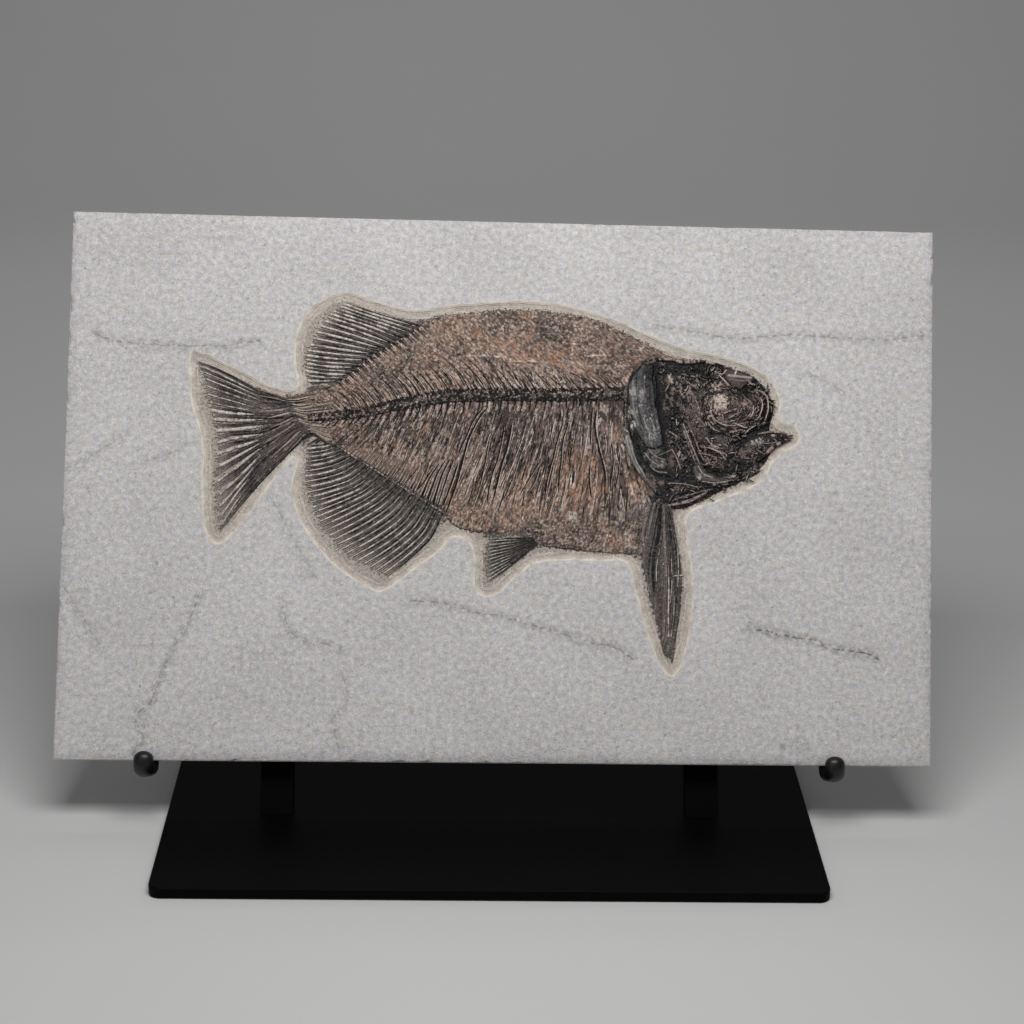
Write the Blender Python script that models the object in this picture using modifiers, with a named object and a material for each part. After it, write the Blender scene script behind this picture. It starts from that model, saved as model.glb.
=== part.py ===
"""Fossil fish slab on a steel display stand.

A sawn limestone slab holds a fossil fish in a shallow prepared hollow.  The slab leans
back on two flat steel uprights and its lower edge sits in two hooked prongs, all carried
by a heavy base plate.  Units are metres, +Z is up and the fish is seen from -Y.

Places on the slab's face are given in millimetres: u runs to the right along the lower
edge from its left end, v runs up the face, and h is the height out of the face.
"""

import math

import bmesh
import bpy
import numpy as np
from mathutils import Matrix, Vector

MM = 0.001
GAP = 0.3                                  # clearance between touching pieces, mm

# --- slab, mm -------------------------------------------------------------------------
SLAB_WIDTH = 660.0
SLAB_HEIGHT_LEFT = 417.3
SLAB_HEIGHT_RIGHT = 409.1
SLAB_SKEW = 5.0                            # the upper corners stand this far right
SLAB_THICKNESS = 20.0
SLAB_ARRIS = 0.7
SLAB_LEAN = math.radians(24.2)
SLAB_FOOT_HEIGHT = 45.0                    # lower front edge above the base plate
SLAB_SETBACK = 117.3                       # lower front edge behind the plate's front

# --- prepared hollow and the fossil's levels, mm --------------------------------------
HOLLOW_DEPTH = 1.8
HOLLOW_SLOPE = 3.0
SEAT = GAP - HOLLOW_DEPTH                  # underside of every bone
VERTEBRAE = 44
SPINE_SEAT = 0.1                           # underside of the backbone
CHANNEL = SPINE_SEAT - 2.0 * GAP           # floor of the flank's channel under it

# --- stand, mm ------------------------------------------------------------------------
PLATE_WIDTH = 487.8
PLATE_DEPTH = 304.8
PLATE_THICKNESS = 8.0
PLATE_CORNER = 9.0
PLATE_ARRIS = 0.6
STAND_SHIFT = -5.0                         # the stand's middle, left of the slab's
POST_SPACING = 322.0
POST_WIDTH = 25.0
POST_THICKNESS = 12.0
POST_TOP = 300.0                           # upper end, up the slab's back
BAR_LENGTH = 545.0
BAR_HEIGHT = 25.0
BAR_THICKNESS = 10.0
BAR_FOOT = 4.0                             # its lower edge above the slab's lower edge
PRONG_SPACING = 518.0
PRONG_WIDTH = 15.0
PRONG_DEPTH = 12.0
PRONG_TIP = 7.3                            # top of the hook's tip above the slab's edge

# --- frame of the object --------------------------------------------------------------
SLAB_MIDDLE = (SLAB_WIDTH + SLAB_SKEW) / 2.0
SLAB_REAR = (SLAB_SETBACK + SLAB_HEIGHT_LEFT * math.sin(SLAB_LEAN)
             + SLAB_THICKNESS * math.cos(SLAB_LEAN))
PLATE_FRONT = -SLAB_REAR / 2.0

# Edge of the prepared hollow, clockwise from the upper tail tip.
HOLLOW_EDGE = [
    (96, 308), (104, 310), (125, 300.5), (152, 287), (170, 282), (178.5, 286), (175.5, 303),
    (178, 328), (190, 347), (212, 357), (238, 350.5), (266, 344), (300, 348.5), (345, 352),
    (385, 348.5), (422, 337.5), (464, 319.5), (492, 313), (520, 305.5), (537, 295),
    (547, 279), (547, 263), (560, 256), (561, 245), (549, 236.5), (540, 228),
    (532, 214.5), (502, 200.5), (482, 192.5), (475, 182), (479.5, 150), (480.5, 120),
    (476, 90), (468, 68.5), (460, 68), (450, 85), (437, 127), (430, 151), (410, 153),
    (366, 152), (348, 142), (332, 127.5), (321, 125.5), (314, 134), (312.5, 162),
    (299, 170), (283, 156), (250, 131.5), (236, 130), (206, 150), (184, 178), (175, 205),
    (178.5, 227), (172, 226.5), (155, 203.5), (134.5, 174.5), (120, 163), (110, 174),
    (107, 205), (106, 243), (98, 272),
]

# Fins: the first, middle and last rail cross the rays at root, half way and tip.
TAIL_RAILS = [
    [(171.5, 274.5), (177, 266.5), (180, 258.5), (187.5, 249.5)],
    [(138, 286.8), (143, 271), (147, 256), (150, 238), (153, 212)],
    [(101, 303), (106, 285), (113, 266), (117, 250), (117.5, 232), (117, 193), (121, 174.5)],
]
DORSAL_RAILS = [
    [(270, 333), (255, 322.5), (240, 312), (228, 302.5), (215, 292.5), (199, 284.5)],
    [(243, 343), (228, 334), (214, 321), (206, 307), (201, 296), (193, 284.5)],
    [(214, 351.5), (202, 346), (193, 336), (187, 325), (183, 312), (181.5, 300), (187, 284)],
]
ANAL_RAILS = [
    [(290, 187.5), (275, 193.5), (250, 209.5), (222, 228.5), (208, 236), (193, 239.5)],
    [(279.5, 164), (261, 167), (241, 177), (222, 192), (207, 210), (190, 238)],
    [(246, 138.5), (232, 143), (218, 151.5), (205, 165), (195, 179.5), (187.5, 195),
     (183.5, 211), (183.5, 225), (187, 236)],
]
PELVIC_RAILS = [
    [(357, 171), (360.5, 164)],
    [(343, 171), (341.5, 158), (341, 147.5)],
    [(324, 170), (321, 158), (321.5, 146), (324.5, 134.5)],
]
PECTORAL_RAILS = [
    [(461.5, 197), (451, 199), (440.5, 197)],
    [(471.5, 140), (463, 132), (456, 135), (449, 148), (438, 172)],
    [(464.5, 77), (458, 84), (454, 100), (450, 115), (441.5, 150)],
]

# Flank: the n-th points of all rails lie on one rib, from the tail to the gill cover.
BELLY = [(190, 249.5), (201, 241.5), (214, 236.5), (238, 221), (264, 204), (285, 192),
         (303, 177.5), (330, 173.5), (357.5, 174), (365, 165.5), (398, 161), (435, 159)]
LOW_FLANK = [(187.5, 252), (202, 247), (219, 245), (245, 236), (273, 226), (295, 220),
             (315, 209), (342, 207), (365, 205), (374, 201), (402, 196), (437.5, 203)]
UNDER_FLANK = [(185, 254.5), (204, 252.5), (225, 253), (253, 252), (283, 249), (305, 247),
               (327, 243), (353, 242), (372, 240), (381, 239), (406, 236), (427.5, 241)]
UNDER_SPINE = [(182.5, 258), (205, 258), (230, 261), (260, 267), (290, 272), (312, 273.5),
               (335, 274.3), (360, 274.3), (377, 274.5), (387, 274.7), (408, 275.3),
               (427, 275.8)]
OVER_SPINE = [(181, 263), (204, 265), (229, 269.5), (259, 277), (289, 283), (311, 284.5),
              (334, 285.3), (359, 285.3), (376, 285.5), (386, 285.7), (408, 286.3),
              (427.5, 286.8)]
UPPER_FLANK = [(178, 269), (198, 273), (221, 279), (247, 292), (275, 304), (297, 311),
               (321, 314), (349, 315), (370, 315), (383, 315), (409, 313), (437, 305)]
BACK = [(173.5, 275.8), (188, 279.5), (209, 287), (231.5, 302.5), (256, 319.5), (277, 336),
        (305, 341.5), (338, 344.5), (360, 344.5), (376, 343), (411, 335.5), (455, 314)]
FLANK_RAILS = [BELLY, LOW_FLANK, UNDER_FLANK, UNDER_SPINE, OVER_SPINE, UPPER_FLANK, BACK]
FLANK_ROWS = [2, 2, 2, 1, 2, 2]

# Head: each rail runs from the gill cover forward to the snout.
SKULL_RAILS = [
    [(466, 219), (480, 218), (492, 218), (503, 222), (506.5, 232), (509, 243.5),
     (520, 250.5), (531, 255.5), (538, 260)],
    [(461.5, 245), (477, 247), (490, 247), (503, 249), (510, 256), (516, 260), (524, 263),
     (533, 265), (540, 264)],
    [(456.5, 275), (473, 277), (487, 277), (502, 276), (513, 278), (521, 280), (530, 279),
     (537, 277), (541.5, 269)],
    [(453.5, 307.5), (470, 307.5), (485, 306.5), (500, 303.5), (512, 300.5), (521, 298),
     (528, 293.5), (534, 287.5), (541, 274)],
]
JAW_RAILS = [
    [(509.5, 231), (518, 227.5), (527, 229.5), (534, 234.5), (541, 240.5), (547.5, 244.5),
     (552.5, 246.5)],
    [(512, 240), (521, 247), (532, 252), (541, 253), (548, 252.3), (552, 250.5),
     (554.2, 248.3)],
]
THROAT_RAILS = [
    [(463.5, 194.5), (473, 194.5), (483, 198.5), (493, 203.5), (503, 209), (513, 213.5),
     (522, 218.5), (531.5, 222.5)],
    [(462.5, 215), (473, 215.5), (483, 215), (493, 215), (502, 218), (509, 224.5),
     (519, 224.5), (529, 226)],
]
GILL_RAILS = [
    [(450, 219), (444, 226), (438, 236.5), (433.5, 247), (430.5, 257), (431, 271),
     (430, 285), (431.5, 296), (440, 303)],
    [(462, 218), (463, 226), (460.5, 236), (457.5, 247), (455.5, 258), (453.5, 273),
     (452.5, 287), (451.5, 296), (450.5, 303.5)],
]
SHOULDER_LINE = [(429.5, 249.5), (431.5, 240), (435.5, 229.5), (441, 220), (448, 211),
                 (454, 204)]
SHOULDER_HALF_WIDTH = 1.8

# Head relief, mm: eye socket, brow plates and the grooves between the cheek plates.
EYE_SOCKET = (500.0, 276.0)
EYE_RADIUS = 11.0
CHEEK_GROOVES = [
    [(486, 280), (489, 262), (494, 252), (508, 249)],
    [(477, 256), (483, 240), (490, 228), (502, 223)],
    [(503, 299), (515, 291), (524, 289)],
]
GROOVE_WIDTH = 2.2


# --- curves ---------------------------------------------------------------------------

def spline(points, parameters, closed=False):
    """Points of a Catmull-Rom curve; a parameter counts the control points passed."""
    control = np.asarray(points, dtype=float)
    count = len(control)
    if closed:
        padded = np.vstack([control[-1:], control, control[:2]])
        last = count - 1
    else:
        first = 2.0 * control[0] - control[1]
        end = 2.0 * control[-1] - control[-2]
        padded = np.vstack([first, control, end])
        last = count - 2
    start = np.clip(np.floor(parameters).astype(int), 0, last)
    t = (np.asarray(parameters) - start)[:, None]
    a, b, c, d = (padded[start + k] for k in range(4))
    return 0.5 * (2.0 * b + (c - a) * t + (2.0 * a - 5.0 * b + 4.0 * c - d) * t ** 2
                  + (3.0 * b - a - 3.0 * c + d) * t ** 3)


def even_parameters(points, count, closed=False):
    """Parameters of count + 1 places spaced evenly along the curve through the points."""
    spans = len(points) if closed else len(points) - 1
    fine = np.linspace(0.0, spans, 40 * spans + 1)
    steps = np.linalg.norm(np.diff(spline(points, fine, closed), axis=0), axis=1)
    length = np.concatenate([[0.0], np.cumsum(steps)])
    return np.interp(np.linspace(0.0, length[-1], count + 1), length, fine)


def even_rail(points, count):
    """count + 1 points spaced evenly along the curve through the points."""
    return spline(points, even_parameters(points, count))


def offset_rail(line, distance):
    """The line moved sideways by a distance, or by one distance for each point."""
    along = np.gradient(line, axis=0)
    along /= np.linalg.norm(along, axis=1)[:, None]
    across = np.column_stack([-along[:, 1], along[:, 0]])
    return line + across * np.reshape(distance, (-1, 1))


def distance_to_line(point, line):
    """Distance in mm from a point to a polyline on the slab's face."""
    start = np.asarray(line[:-1], dtype=float)
    span = np.asarray(line[1:], dtype=float) - start
    t = np.sum((point - start) * span, axis=1) / np.sum(span * span, axis=1)
    nearest = start + np.clip(t, 0.0, 1.0)[:, None] * span
    return float(np.min(np.linalg.norm(point - nearest, axis=1)))


# --- scene helpers --------------------------------------------------------------------

def clear_scene():
    """Remove every object, so that the script can be run again in an open file."""
    for item in list(bpy.data.objects):
        bpy.data.objects.remove(item, do_unlink=True)


def make_material(name, colour, roughness, metallic=0.0):
    """Principled material with a base colour, a roughness and a metallic value."""
    material = bpy.data.materials.new(name)
    material.use_nodes = True
    shader = material.node_tree.nodes["Principled BSDF"]
    shader.inputs["Base Color"].default_value = (*colour, 1.0)
    shader.inputs["Roughness"].default_value = roughness
    shader.inputs["Metallic"].default_value = metallic
    material.diffuse_color = (*colour, 1.0)
    return material


def add_object(name, data, collection, parent=None, material=None):
    """Link an object under its parent and give it its material."""
    item = bpy.data.objects.new(name, data)
    collection.objects.link(item)
    item.parent = parent
    if material is not None:
        data.materials.append(material)
    return item


def to_plane(u, v, h=0.0):
    """Point of the slab's plane object, in metres, from face coordinates in mm."""
    return Vector(((u - SLAB_MIDDLE) * MM, v * MM, h * MM))


def flat_curve(name, points, half_thickness):
    """Closed flat outline, filled on both sides and extruded about its own plane."""
    curve = bpy.data.curves.new(name, "CURVE")
    curve.dimensions = "2D"
    curve.fill_mode = "BOTH"
    curve.extrude = half_thickness
    line = curve.splines.new("POLY")
    line.points.add(len(points) - 1)
    for point, place in zip(line.points, points):
        point.co = (place[0], place[1], 0.0, 1.0)
    line.use_cyclic_u = True
    return curve


def curve_to_mesh_object(item):
    """Replace a curve object by a welded mesh object with the same place and parent."""
    bpy.context.view_layer.update()
    evaluated = item.evaluated_get(bpy.context.evaluated_depsgraph_get())
    mesh = bpy.data.meshes.new_from_object(evaluated)
    body = bmesh.new()
    body.from_mesh(mesh)
    bmesh.ops.remove_doubles(body, verts=body.verts, dist=1e-6)
    bmesh.ops.recalc_face_normals(body, faces=body.faces)
    body.to_mesh(mesh)
    body.free()
    name = item.name
    parent = item.parent
    collection = item.users_collection[0]
    placement = item.matrix_basis.copy()
    bpy.data.objects.remove(item, do_unlink=True)
    solid = bpy.data.objects.new(name, mesh)
    collection.objects.link(solid)
    solid.parent = parent
    solid.matrix_basis = placement
    return solid


def add_bevel(item, width, segments=1):
    """Round or break the sharp edges of an object."""
    bevel = item.modifiers.new("edges", "BEVEL")
    bevel.width = width
    bevel.segments = segments
    bevel.limit_method = "ANGLE"


def add_cut(item, cutter):
    """Cut one object with another, which stays as a hidden guide."""
    cut = item.modifiers.new("cut_" + cutter.name, "BOOLEAN")
    cut.operation = "DIFFERENCE"
    cut.object = cutter
    cutter.hide_render = True
    cutter.display_type = "WIRE"


# --- low-relief pieces ----------------------------------------------------------------

def relief_piece(name, columns, relief, seat, collection, plane, material):
    """Closed piece with a modelled face over a flat underside.

    columns[i][j] is the face point (u, v) of column i and row j, and relief(i, j, point)
    gives its height h.  The face is a grid bent to those points.  Its border is drawn
    down to the seat and closed there.
    """
    across = len(columns) - 1
    along = len(columns[0]) - 1
    body = bmesh.new()
    bmesh.ops.create_grid(body, x_segments=across, y_segments=along, size=1.0)
    body.verts.ensure_lookup_table()
    for vertex in body.verts:
        i = round((vertex.co.x + 1.0) / 2.0 * across)
        j = round((vertex.co.y + 1.0) / 2.0 * along)
        u, v = columns[i][j]
        vertex.co = to_plane(u, v, relief(i, j, columns[i][j]))
    border = [edge for edge in body.edges if edge.is_boundary]
    walls = bmesh.ops.extrude_edge_only(body, edges=border)["geom"]
    for vertex in walls:
        if isinstance(vertex, bmesh.types.BMVert):
            vertex.co.z = seat * MM
    rim = [edge for edge in body.edges if edge.is_boundary]
    bmesh.ops.edgeloop_fill(body, edges=rim)
    bmesh.ops.recalc_face_normals(body, faces=body.faces)
    mesh = bpy.data.meshes.new(name)
    body.to_mesh(mesh)
    body.free()
    return add_object(name, mesh, collection, plane, material)


def columns_across(rails, rows):
    """Columns of points that cross sampled rails, with rows[k] steps after rail k."""
    stops = [0.0]
    for k, steps in enumerate(rows):
        stops += [k + (step + 1) / steps for step in range(steps)]
    return [spline([rail[i] for rail in rails], np.array(stops))
            for i in range(len(rails[0]))]


def ridge(index, low, high):
    """Height of a column in a row of ridges: crests on the odd columns."""
    return high if index % 2 else low


def fin(name, rails, rays, rows, collection, plane, material):
    """A fin whose rays are ridges that fan from the root rail to the tip rail."""
    sampled = [even_rail(rail, 2 * rays) for rail in rails]
    columns = columns_across(sampled, rows)
    last = sum(rows)

    def relief(i, j, _point):
        """Rays stand highest at the root and thin out towards the tip."""
        t = j / last
        if i in (0, 2 * rays):
            return -0.5 - 0.3 * t
        return ridge(i, -0.75, 0.25 - 0.5 * t)

    return relief_piece(name, columns, relief, SEAT, collection, plane, material)


def build_flank(collection, plane, material):
    """Scaly side of the fish: ribs below and neural spines above a channel."""
    places = even_parameters(UNDER_SPINE, 2 * VERTEBRAE)
    rails = [spline(rail, places) for rail in FLANK_RAILS]
    columns = columns_across(rails, FLANK_ROWS)
    channel = (sum(FLANK_ROWS[:3]), sum(FLANK_ROWS[:4]))
    last = sum(FLANK_ROWS)

    def relief(i, j, _point):
        """A swell over the ribs that falls to the edges and to the channel."""
        if j in channel:
            return CHANNEL
        if j in (0, last):
            return -0.4
        swell = 0.35 * math.sin(math.pi * j / last)
        if i in (0, 2 * VERTEBRAE):
            return swell - 0.3
        return swell + ridge(i, -0.2, 0.5)

    return relief_piece("flank", columns, relief, SEAT, collection, plane, material)


def build_backbone(collection, plane, material):
    """Chain of hourglass vertebrae that lies in the flank's channel."""
    count = 2 * VERTEBRAE
    places = np.linspace(0.15, len(UNDER_SPINE) - 1.12, 400)
    middle = (spline(UNDER_SPINE, places) + spline(OVER_SPINE, places)) / 2.0
    width = np.linalg.norm(spline(OVER_SPINE, places) - spline(UNDER_SPINE, places), axis=1)
    steps = np.concatenate([[0.0], np.cumsum(np.linalg.norm(np.diff(middle, axis=0), axis=1))])
    even = np.linspace(0.0, steps[-1], count + 1)
    line = np.column_stack([np.interp(even, steps, middle[:, axis]) for axis in (0, 1)])
    half = np.interp(even, steps, width) / 2.0 - 0.9
    half[1::2] *= 0.72
    rails = [offset_rail(line, half * side) for side in (-1.0, -0.45, 0.45, 1.0)]
    columns = columns_across(rails, [1, 1, 1])

    def relief(i, j, _point):
        """Rims stand proud of the waists, and the chain is domed across."""
        crown = 1.5 if j in (1, 2) else 0.8
        return crown - (0.45 if i % 2 else 0.0)

    return relief_piece("backbone", columns, relief, SPINE_SEAT, collection, plane, material)


def build_skull(collection, plane, material):
    """Head bones in front of the gill cover: a domed plate, socketed and grooved."""
    rails = [even_rail(rail, 26) for rail in SKULL_RAILS]
    columns = columns_across(rails, [5, 5, 6])
    grooves = [spline(line, np.linspace(0.0, len(line) - 1.0, 12)) for line in CHEEK_GROOVES]

    def relief(i, j, point):
        """Dome of the head with the eye socket sunk in it and its rim raised."""
        edge = min(i, 26 - i, j, 16 - j)
        height = 0.2 + 1.5 * min(edge / 4.0, 1.0)
        reach = math.dist(point, EYE_SOCKET) / EYE_RADIUS
        height += 0.7 * math.exp(-((reach - 1.1) / 0.25) ** 2)
        height -= 1.6 * math.exp(-(reach / 0.8) ** 4)
        for line in grooves:
            height -= 1.1 * math.exp(-(distance_to_line(point, line) / GROOVE_WIDTH) ** 2)
        return height

    return relief_piece("skull", columns, relief, SEAT, collection, plane, material)


def build_lower_jaw(collection, plane, material):
    """Lower jaw that juts forward under the snout."""
    rails = [even_rail(rail, 14) for rail in JAW_RAILS]
    columns = columns_across(rails, [6])

    def relief(i, j, _point):
        """Rounded across, lower at both ends."""
        return -0.3 + 2.0 * math.sin(math.pi * j / 6) * (0.45 + 0.55 * math.sin(math.pi * i / 14))

    return relief_piece("lower_jaw", columns, relief, SEAT, collection, plane, material)


def build_throat_rays(collection, plane, material):
    """Fan of long throat bones under the cheek, each a lengthwise ridge."""
    rails = [even_rail(rail, 12) for rail in THROAT_RAILS]
    columns = columns_across(rails, [8])

    def relief(i, j, _point):
        """Four ridges that sink at the fan's border."""
        if j in (0, 8) or i in (0, 12):
            return -0.4
        return ridge(j, -0.2, 0.9)

    return relief_piece("throat_rays", columns, relief, SEAT, collection, plane, material)


def build_gill_cover(collection, plane, material):
    """Tall smooth plate behind the cheek, with a rounded rear edge."""
    rails = [even_rail(rail, 16) for rail in GILL_RAILS]
    columns = columns_across(rails, [6])

    def relief(i, j, _point):
        """Shallow dome, with a rim round the plate."""
        dome = math.sin(math.pi * i / 16) ** 0.5 * math.sin(math.pi * j / 6) ** 0.5
        return -0.2 + 1.8 * dome

    return relief_piece("gill_cover", columns, relief, SEAT, collection, plane, material)


def build_shoulder_bone(collection, plane, material):
    """Curved bone of the shoulder girdle that edges the gill opening."""
    line = even_rail(SHOULDER_LINE, 14)
    half = SHOULDER_HALF_WIDTH * np.sin(np.linspace(0.25, 0.8, 15) * math.pi)
    rails = [offset_rail(line, half * side) for side in (-1.0, 1.0)]
    columns = columns_across(rails, [4])

    def relief(_i, j, _point):
        """Half-round section."""
        return -0.3 + 1.9 * math.sin(math.pi * j / 4)

    return relief_piece("shoulder_bone", columns, relief, SEAT, collection, plane, material)


# --- slab -----------------------------------------------------------------------------

def build_hollow_cutter(guides, plane):
    """Cutter for the prepared hollow: a prism whose lower part tapers to the floor."""
    count = 2 * len(HOLLOW_EDGE)
    places = even_parameters(HOLLOW_EDGE, count, closed=True)[:-1]
    outline = spline(HOLLOW_EDGE, places, closed=True)
    body = bmesh.new()
    ring = [body.verts.new(to_plane(u, v)) for u, v in outline]
    face = body.faces.new(ring)
    face.normal_update()
    if face.normal.z > 0.0:
        face.normal_flip()
    prism = bmesh.ops.extrude_face_region(body, geom=[face], use_keep_orig=True)["geom"]
    for item in prism:
        if isinstance(item, bmesh.types.BMVert):
            item.co.z += 3.0 * HOLLOW_DEPTH * MM
    bmesh.ops.recalc_face_normals(body, faces=body.faces)
    floor = min(body.faces, key=lambda side: side.calc_center_median().z)
    bmesh.ops.inset_region(body, faces=[floor], thickness=HOLLOW_SLOPE * MM,
                           depth=HOLLOW_DEPTH * MM, use_even_offset=False)
    mesh = bpy.data.meshes.new("hollow_cutter")
    body.to_mesh(mesh)
    body.free()
    return add_object("hollow_cutter", mesh, guides, plane)


def build_slab(collection, guides, plane, material):
    """Sawn slab, a little out of square, with the prepared hollow in its face."""
    corners = [(0.0, 0.0), (SLAB_WIDTH, 0.0),
               (SLAB_WIDTH + SLAB_SKEW, SLAB_HEIGHT_RIGHT), (SLAB_SKEW, SLAB_HEIGHT_LEFT)]
    outline = [to_plane(u, v).to_2d() for u, v in corners]
    curve = flat_curve("slab", outline, SLAB_THICKNESS / 2.0 * MM)
    block = add_object("slab", curve, collection, plane)
    block.location.z = -SLAB_THICKNESS / 2.0 * MM
    slab = curve_to_mesh_object(block)
    slab.data.materials.clear()
    slab.data.materials.append(material)
    add_bevel(slab, SLAB_ARRIS * MM)
    add_cut(slab, build_hollow_cutter(guides, plane))
    return slab


# --- stand ----------------------------------------------------------------------------

def box_object(name, low, high, collection, parent, material=None):
    """Rectangular bar between two corners given in mm."""
    mesh = bpy.data.meshes.new(name)
    body = bmesh.new()
    size = [(b - a) * MM for a, b in zip(low, high)]
    middle = Vector([(a + b) / 2.0 * MM for a, b in zip(low, high)])
    bmesh.ops.create_cube(body, size=1.0, matrix=Matrix.Diagonal((*size, 1.0)))
    body.to_mesh(mesh)
    body.free()
    item = add_object(name, mesh, collection, parent, material)
    item.location = middle
    return item


def build_base_plate(collection, material):
    """Heavy flat plate with rounded corners and broken edges."""
    plate = box_object("base_plate", (STAND_SHIFT - PLATE_WIDTH / 2.0, PLATE_FRONT, 0.0),
                       (STAND_SHIFT + PLATE_WIDTH / 2.0, PLATE_FRONT + PLATE_DEPTH,
                        PLATE_THICKNESS), collection, None, material)
    body = bmesh.new()
    body.from_mesh(plate.data)
    upright = [edge for edge in body.edges
               if abs(edge.verts[0].co.z - edge.verts[1].co.z) > 0.5 * PLATE_THICKNESS * MM]
    bmesh.ops.bevel(body, geom=upright, offset=PLATE_CORNER * MM, offset_type="OFFSET",
                    segments=6, profile=0.5, affect="EDGES")
    body.to_mesh(plate.data)
    body.free()
    add_bevel(plate, PLATE_ARRIS * MM)
    return plate


def build_posts(collection, guides, plane, material):
    """Two flat uprights behind the slab, cut level where they meet the base plate."""
    ground = box_object("plate_level_cutter", (-400.0, -400.0, -200.0),
                        (400.0, 400.0, PLATE_THICKNESS + GAP), guides, None)
    ground.hide_render = True
    front = -SLAB_THICKNESS - GAP
    for name, side in (("post_left", -0.5), ("post_right", 0.5)):
        middle = STAND_SHIFT + side * POST_SPACING
        post = box_object(name, (middle - POST_WIDTH / 2.0, -80.0, front - POST_THICKNESS),
                          (middle + POST_WIDTH / 2.0, POST_TOP, front),
                          collection, plane, material)
        add_bevel(post, PLATE_ARRIS * MM)
        add_cut(post, ground)


def build_cross_bar(collection, plane, material):
    """Flat bar behind both uprights that carries the prongs at its ends."""
    front = -SLAB_THICKNESS - POST_THICKNESS - 2.0 * GAP
    bar = box_object("cross_bar",
                     (STAND_SHIFT - BAR_LENGTH / 2.0, BAR_FOOT, front - BAR_THICKNESS),
                     (STAND_SHIFT + BAR_LENGTH / 2.0, BAR_FOOT + BAR_HEIGHT, front),
                     collection, plane, material)
    add_bevel(bar, PLATE_ARRIS * MM)


def prong_path():
    """Middle line (v, h, relative thickness) of a prong, from its rear end to its tip."""
    radius = PRONG_DEPTH / 2.0
    run = -radius - GAP
    rear = -SLAB_THICKNESS - GAP - radius
    front = GAP + radius
    path = [(BAR_FOOT + BAR_HEIGHT, rear, 1.0)]
    for step in range(7):
        turn = math.pi / 2.0 * step / 6
        path.append((run + radius * (1.0 - math.sin(turn)), rear + radius * (1.0 - math.cos(turn)), 1.0))
    for step in range(7):
        turn = math.pi / 2.0 * step / 6
        path.append((run + radius * (1.0 - math.cos(turn)), front - radius * (1.0 - math.sin(turn)), 1.0))
    for step in range(1, 6):
        turn = math.pi / 2.0 * step / 5
        path.append((PRONG_TIP - radius * (1.0 - math.sin(turn)), front, max(math.cos(turn), 0.12)))
    return path


def build_prongs(collection, plane, material):
    """Two oval bars bent into hooks that hold the slab's lower edge."""
    for name, side in (("prong_left", -0.5), ("prong_right", 0.5)):
        curve = bpy.data.curves.new(name, "CURVE")
        curve.dimensions = "3D"
        curve.bevel_depth = PRONG_DEPTH / 2.0 * MM
        curve.bevel_resolution = 4
        curve.use_fill_caps = True
        line = curve.splines.new("POLY")
        path = prong_path()
        line.points.add(len(path) - 1)
        for point, (v, h, thickness) in zip(line.points, path):
            point.co = (0.0, v * MM, h * MM, 1.0)
            point.radius = thickness
        prong = add_object(name, curve, collection, plane)
        prong.location.x = (STAND_SHIFT + side * PRONG_SPACING) * MM
        prong.scale.x = PRONG_WIDTH / PRONG_DEPTH
        solid = curve_to_mesh_object(prong)
        solid.data.materials.append(material)


# --- assembly -------------------------------------------------------------------------

def main():
    """Build the slab with its fish, then the stand that holds it."""
    clear_scene()
    scene = bpy.context.scene
    collection = bpy.data.collections.new("fossil_fish_slab")
    guides = bpy.data.collections.new("guides")
    scene.collection.children.link(collection)
    scene.collection.children.link(guides)

    plane = bpy.data.objects.new("slab_plane", None)
    collection.objects.link(plane)
    plane.rotation_euler.x = math.pi / 2.0 - SLAB_LEAN
    plane.location = Vector((0.0, PLATE_FRONT + SLAB_SETBACK,
                             PLATE_THICKNESS + SLAB_FOOT_HEIGHT)) * MM

    stone = make_material("limestone", (0.52, 0.51, 0.50), 0.85)
    skin = make_material("flank_bone", (0.13, 0.07, 0.05), 0.7)
    bone = make_material("dark_bone", (0.035, 0.03, 0.032), 0.55)
    plate_bone = make_material("grey_bone", (0.10, 0.11, 0.14), 0.5)
    pale_bone = make_material("pale_bone", (0.30, 0.28, 0.29), 0.6)
    steel = make_material("black_steel", (0.012, 0.012, 0.013), 0.35, 0.6)

    build_slab(collection, guides, plane, stone)
    build_flank(collection, plane, skin)
    build_backbone(collection, plane, bone)
    build_skull(collection, plane, bone)
    build_lower_jaw(collection, plane, bone)
    build_throat_rays(collection, plane, bone)
    build_gill_cover(collection, plane, plate_bone)
    build_shoulder_bone(collection, plane, pale_bone)
    fin("tail_fin", TAIL_RAILS, 26, [2, 2], collection, plane, bone)
    fin("dorsal_fin", DORSAL_RAILS, 20, [2, 2], collection, plane, bone)
    fin("anal_fin", ANAL_RAILS, 30, [2, 2], collection, plane, bone)
    fin("pelvic_fin", PELVIC_RAILS, 11, [1, 2], collection, plane, bone)
    fin("pectoral_fin", PECTORAL_RAILS, 8, [3, 3], collection, plane, bone)

    build_base_plate(collection, steel)
    build_posts(collection, guides, plane, steel)
    build_cross_bar(collection, plane, steel)
    build_prongs(collection, plane, steel)


main()
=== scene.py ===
"""Finish of the fossil fish slab: stone, bones, steel stand and a plain studio.

Places on the slab's face are in millimetres: u runs right along the lower edge from its
left end, v runs up the face and h stands out of it.  Everything else is in metres.
"""
import logging
import math
from dataclasses import dataclass, field
from enum import Enum

import bpy
import numpy as np
from mathutils import Matrix, Vector
from mathutils.geometry import delaunay_2d_cdt
from mathutils.kdtree import KDTree


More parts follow.
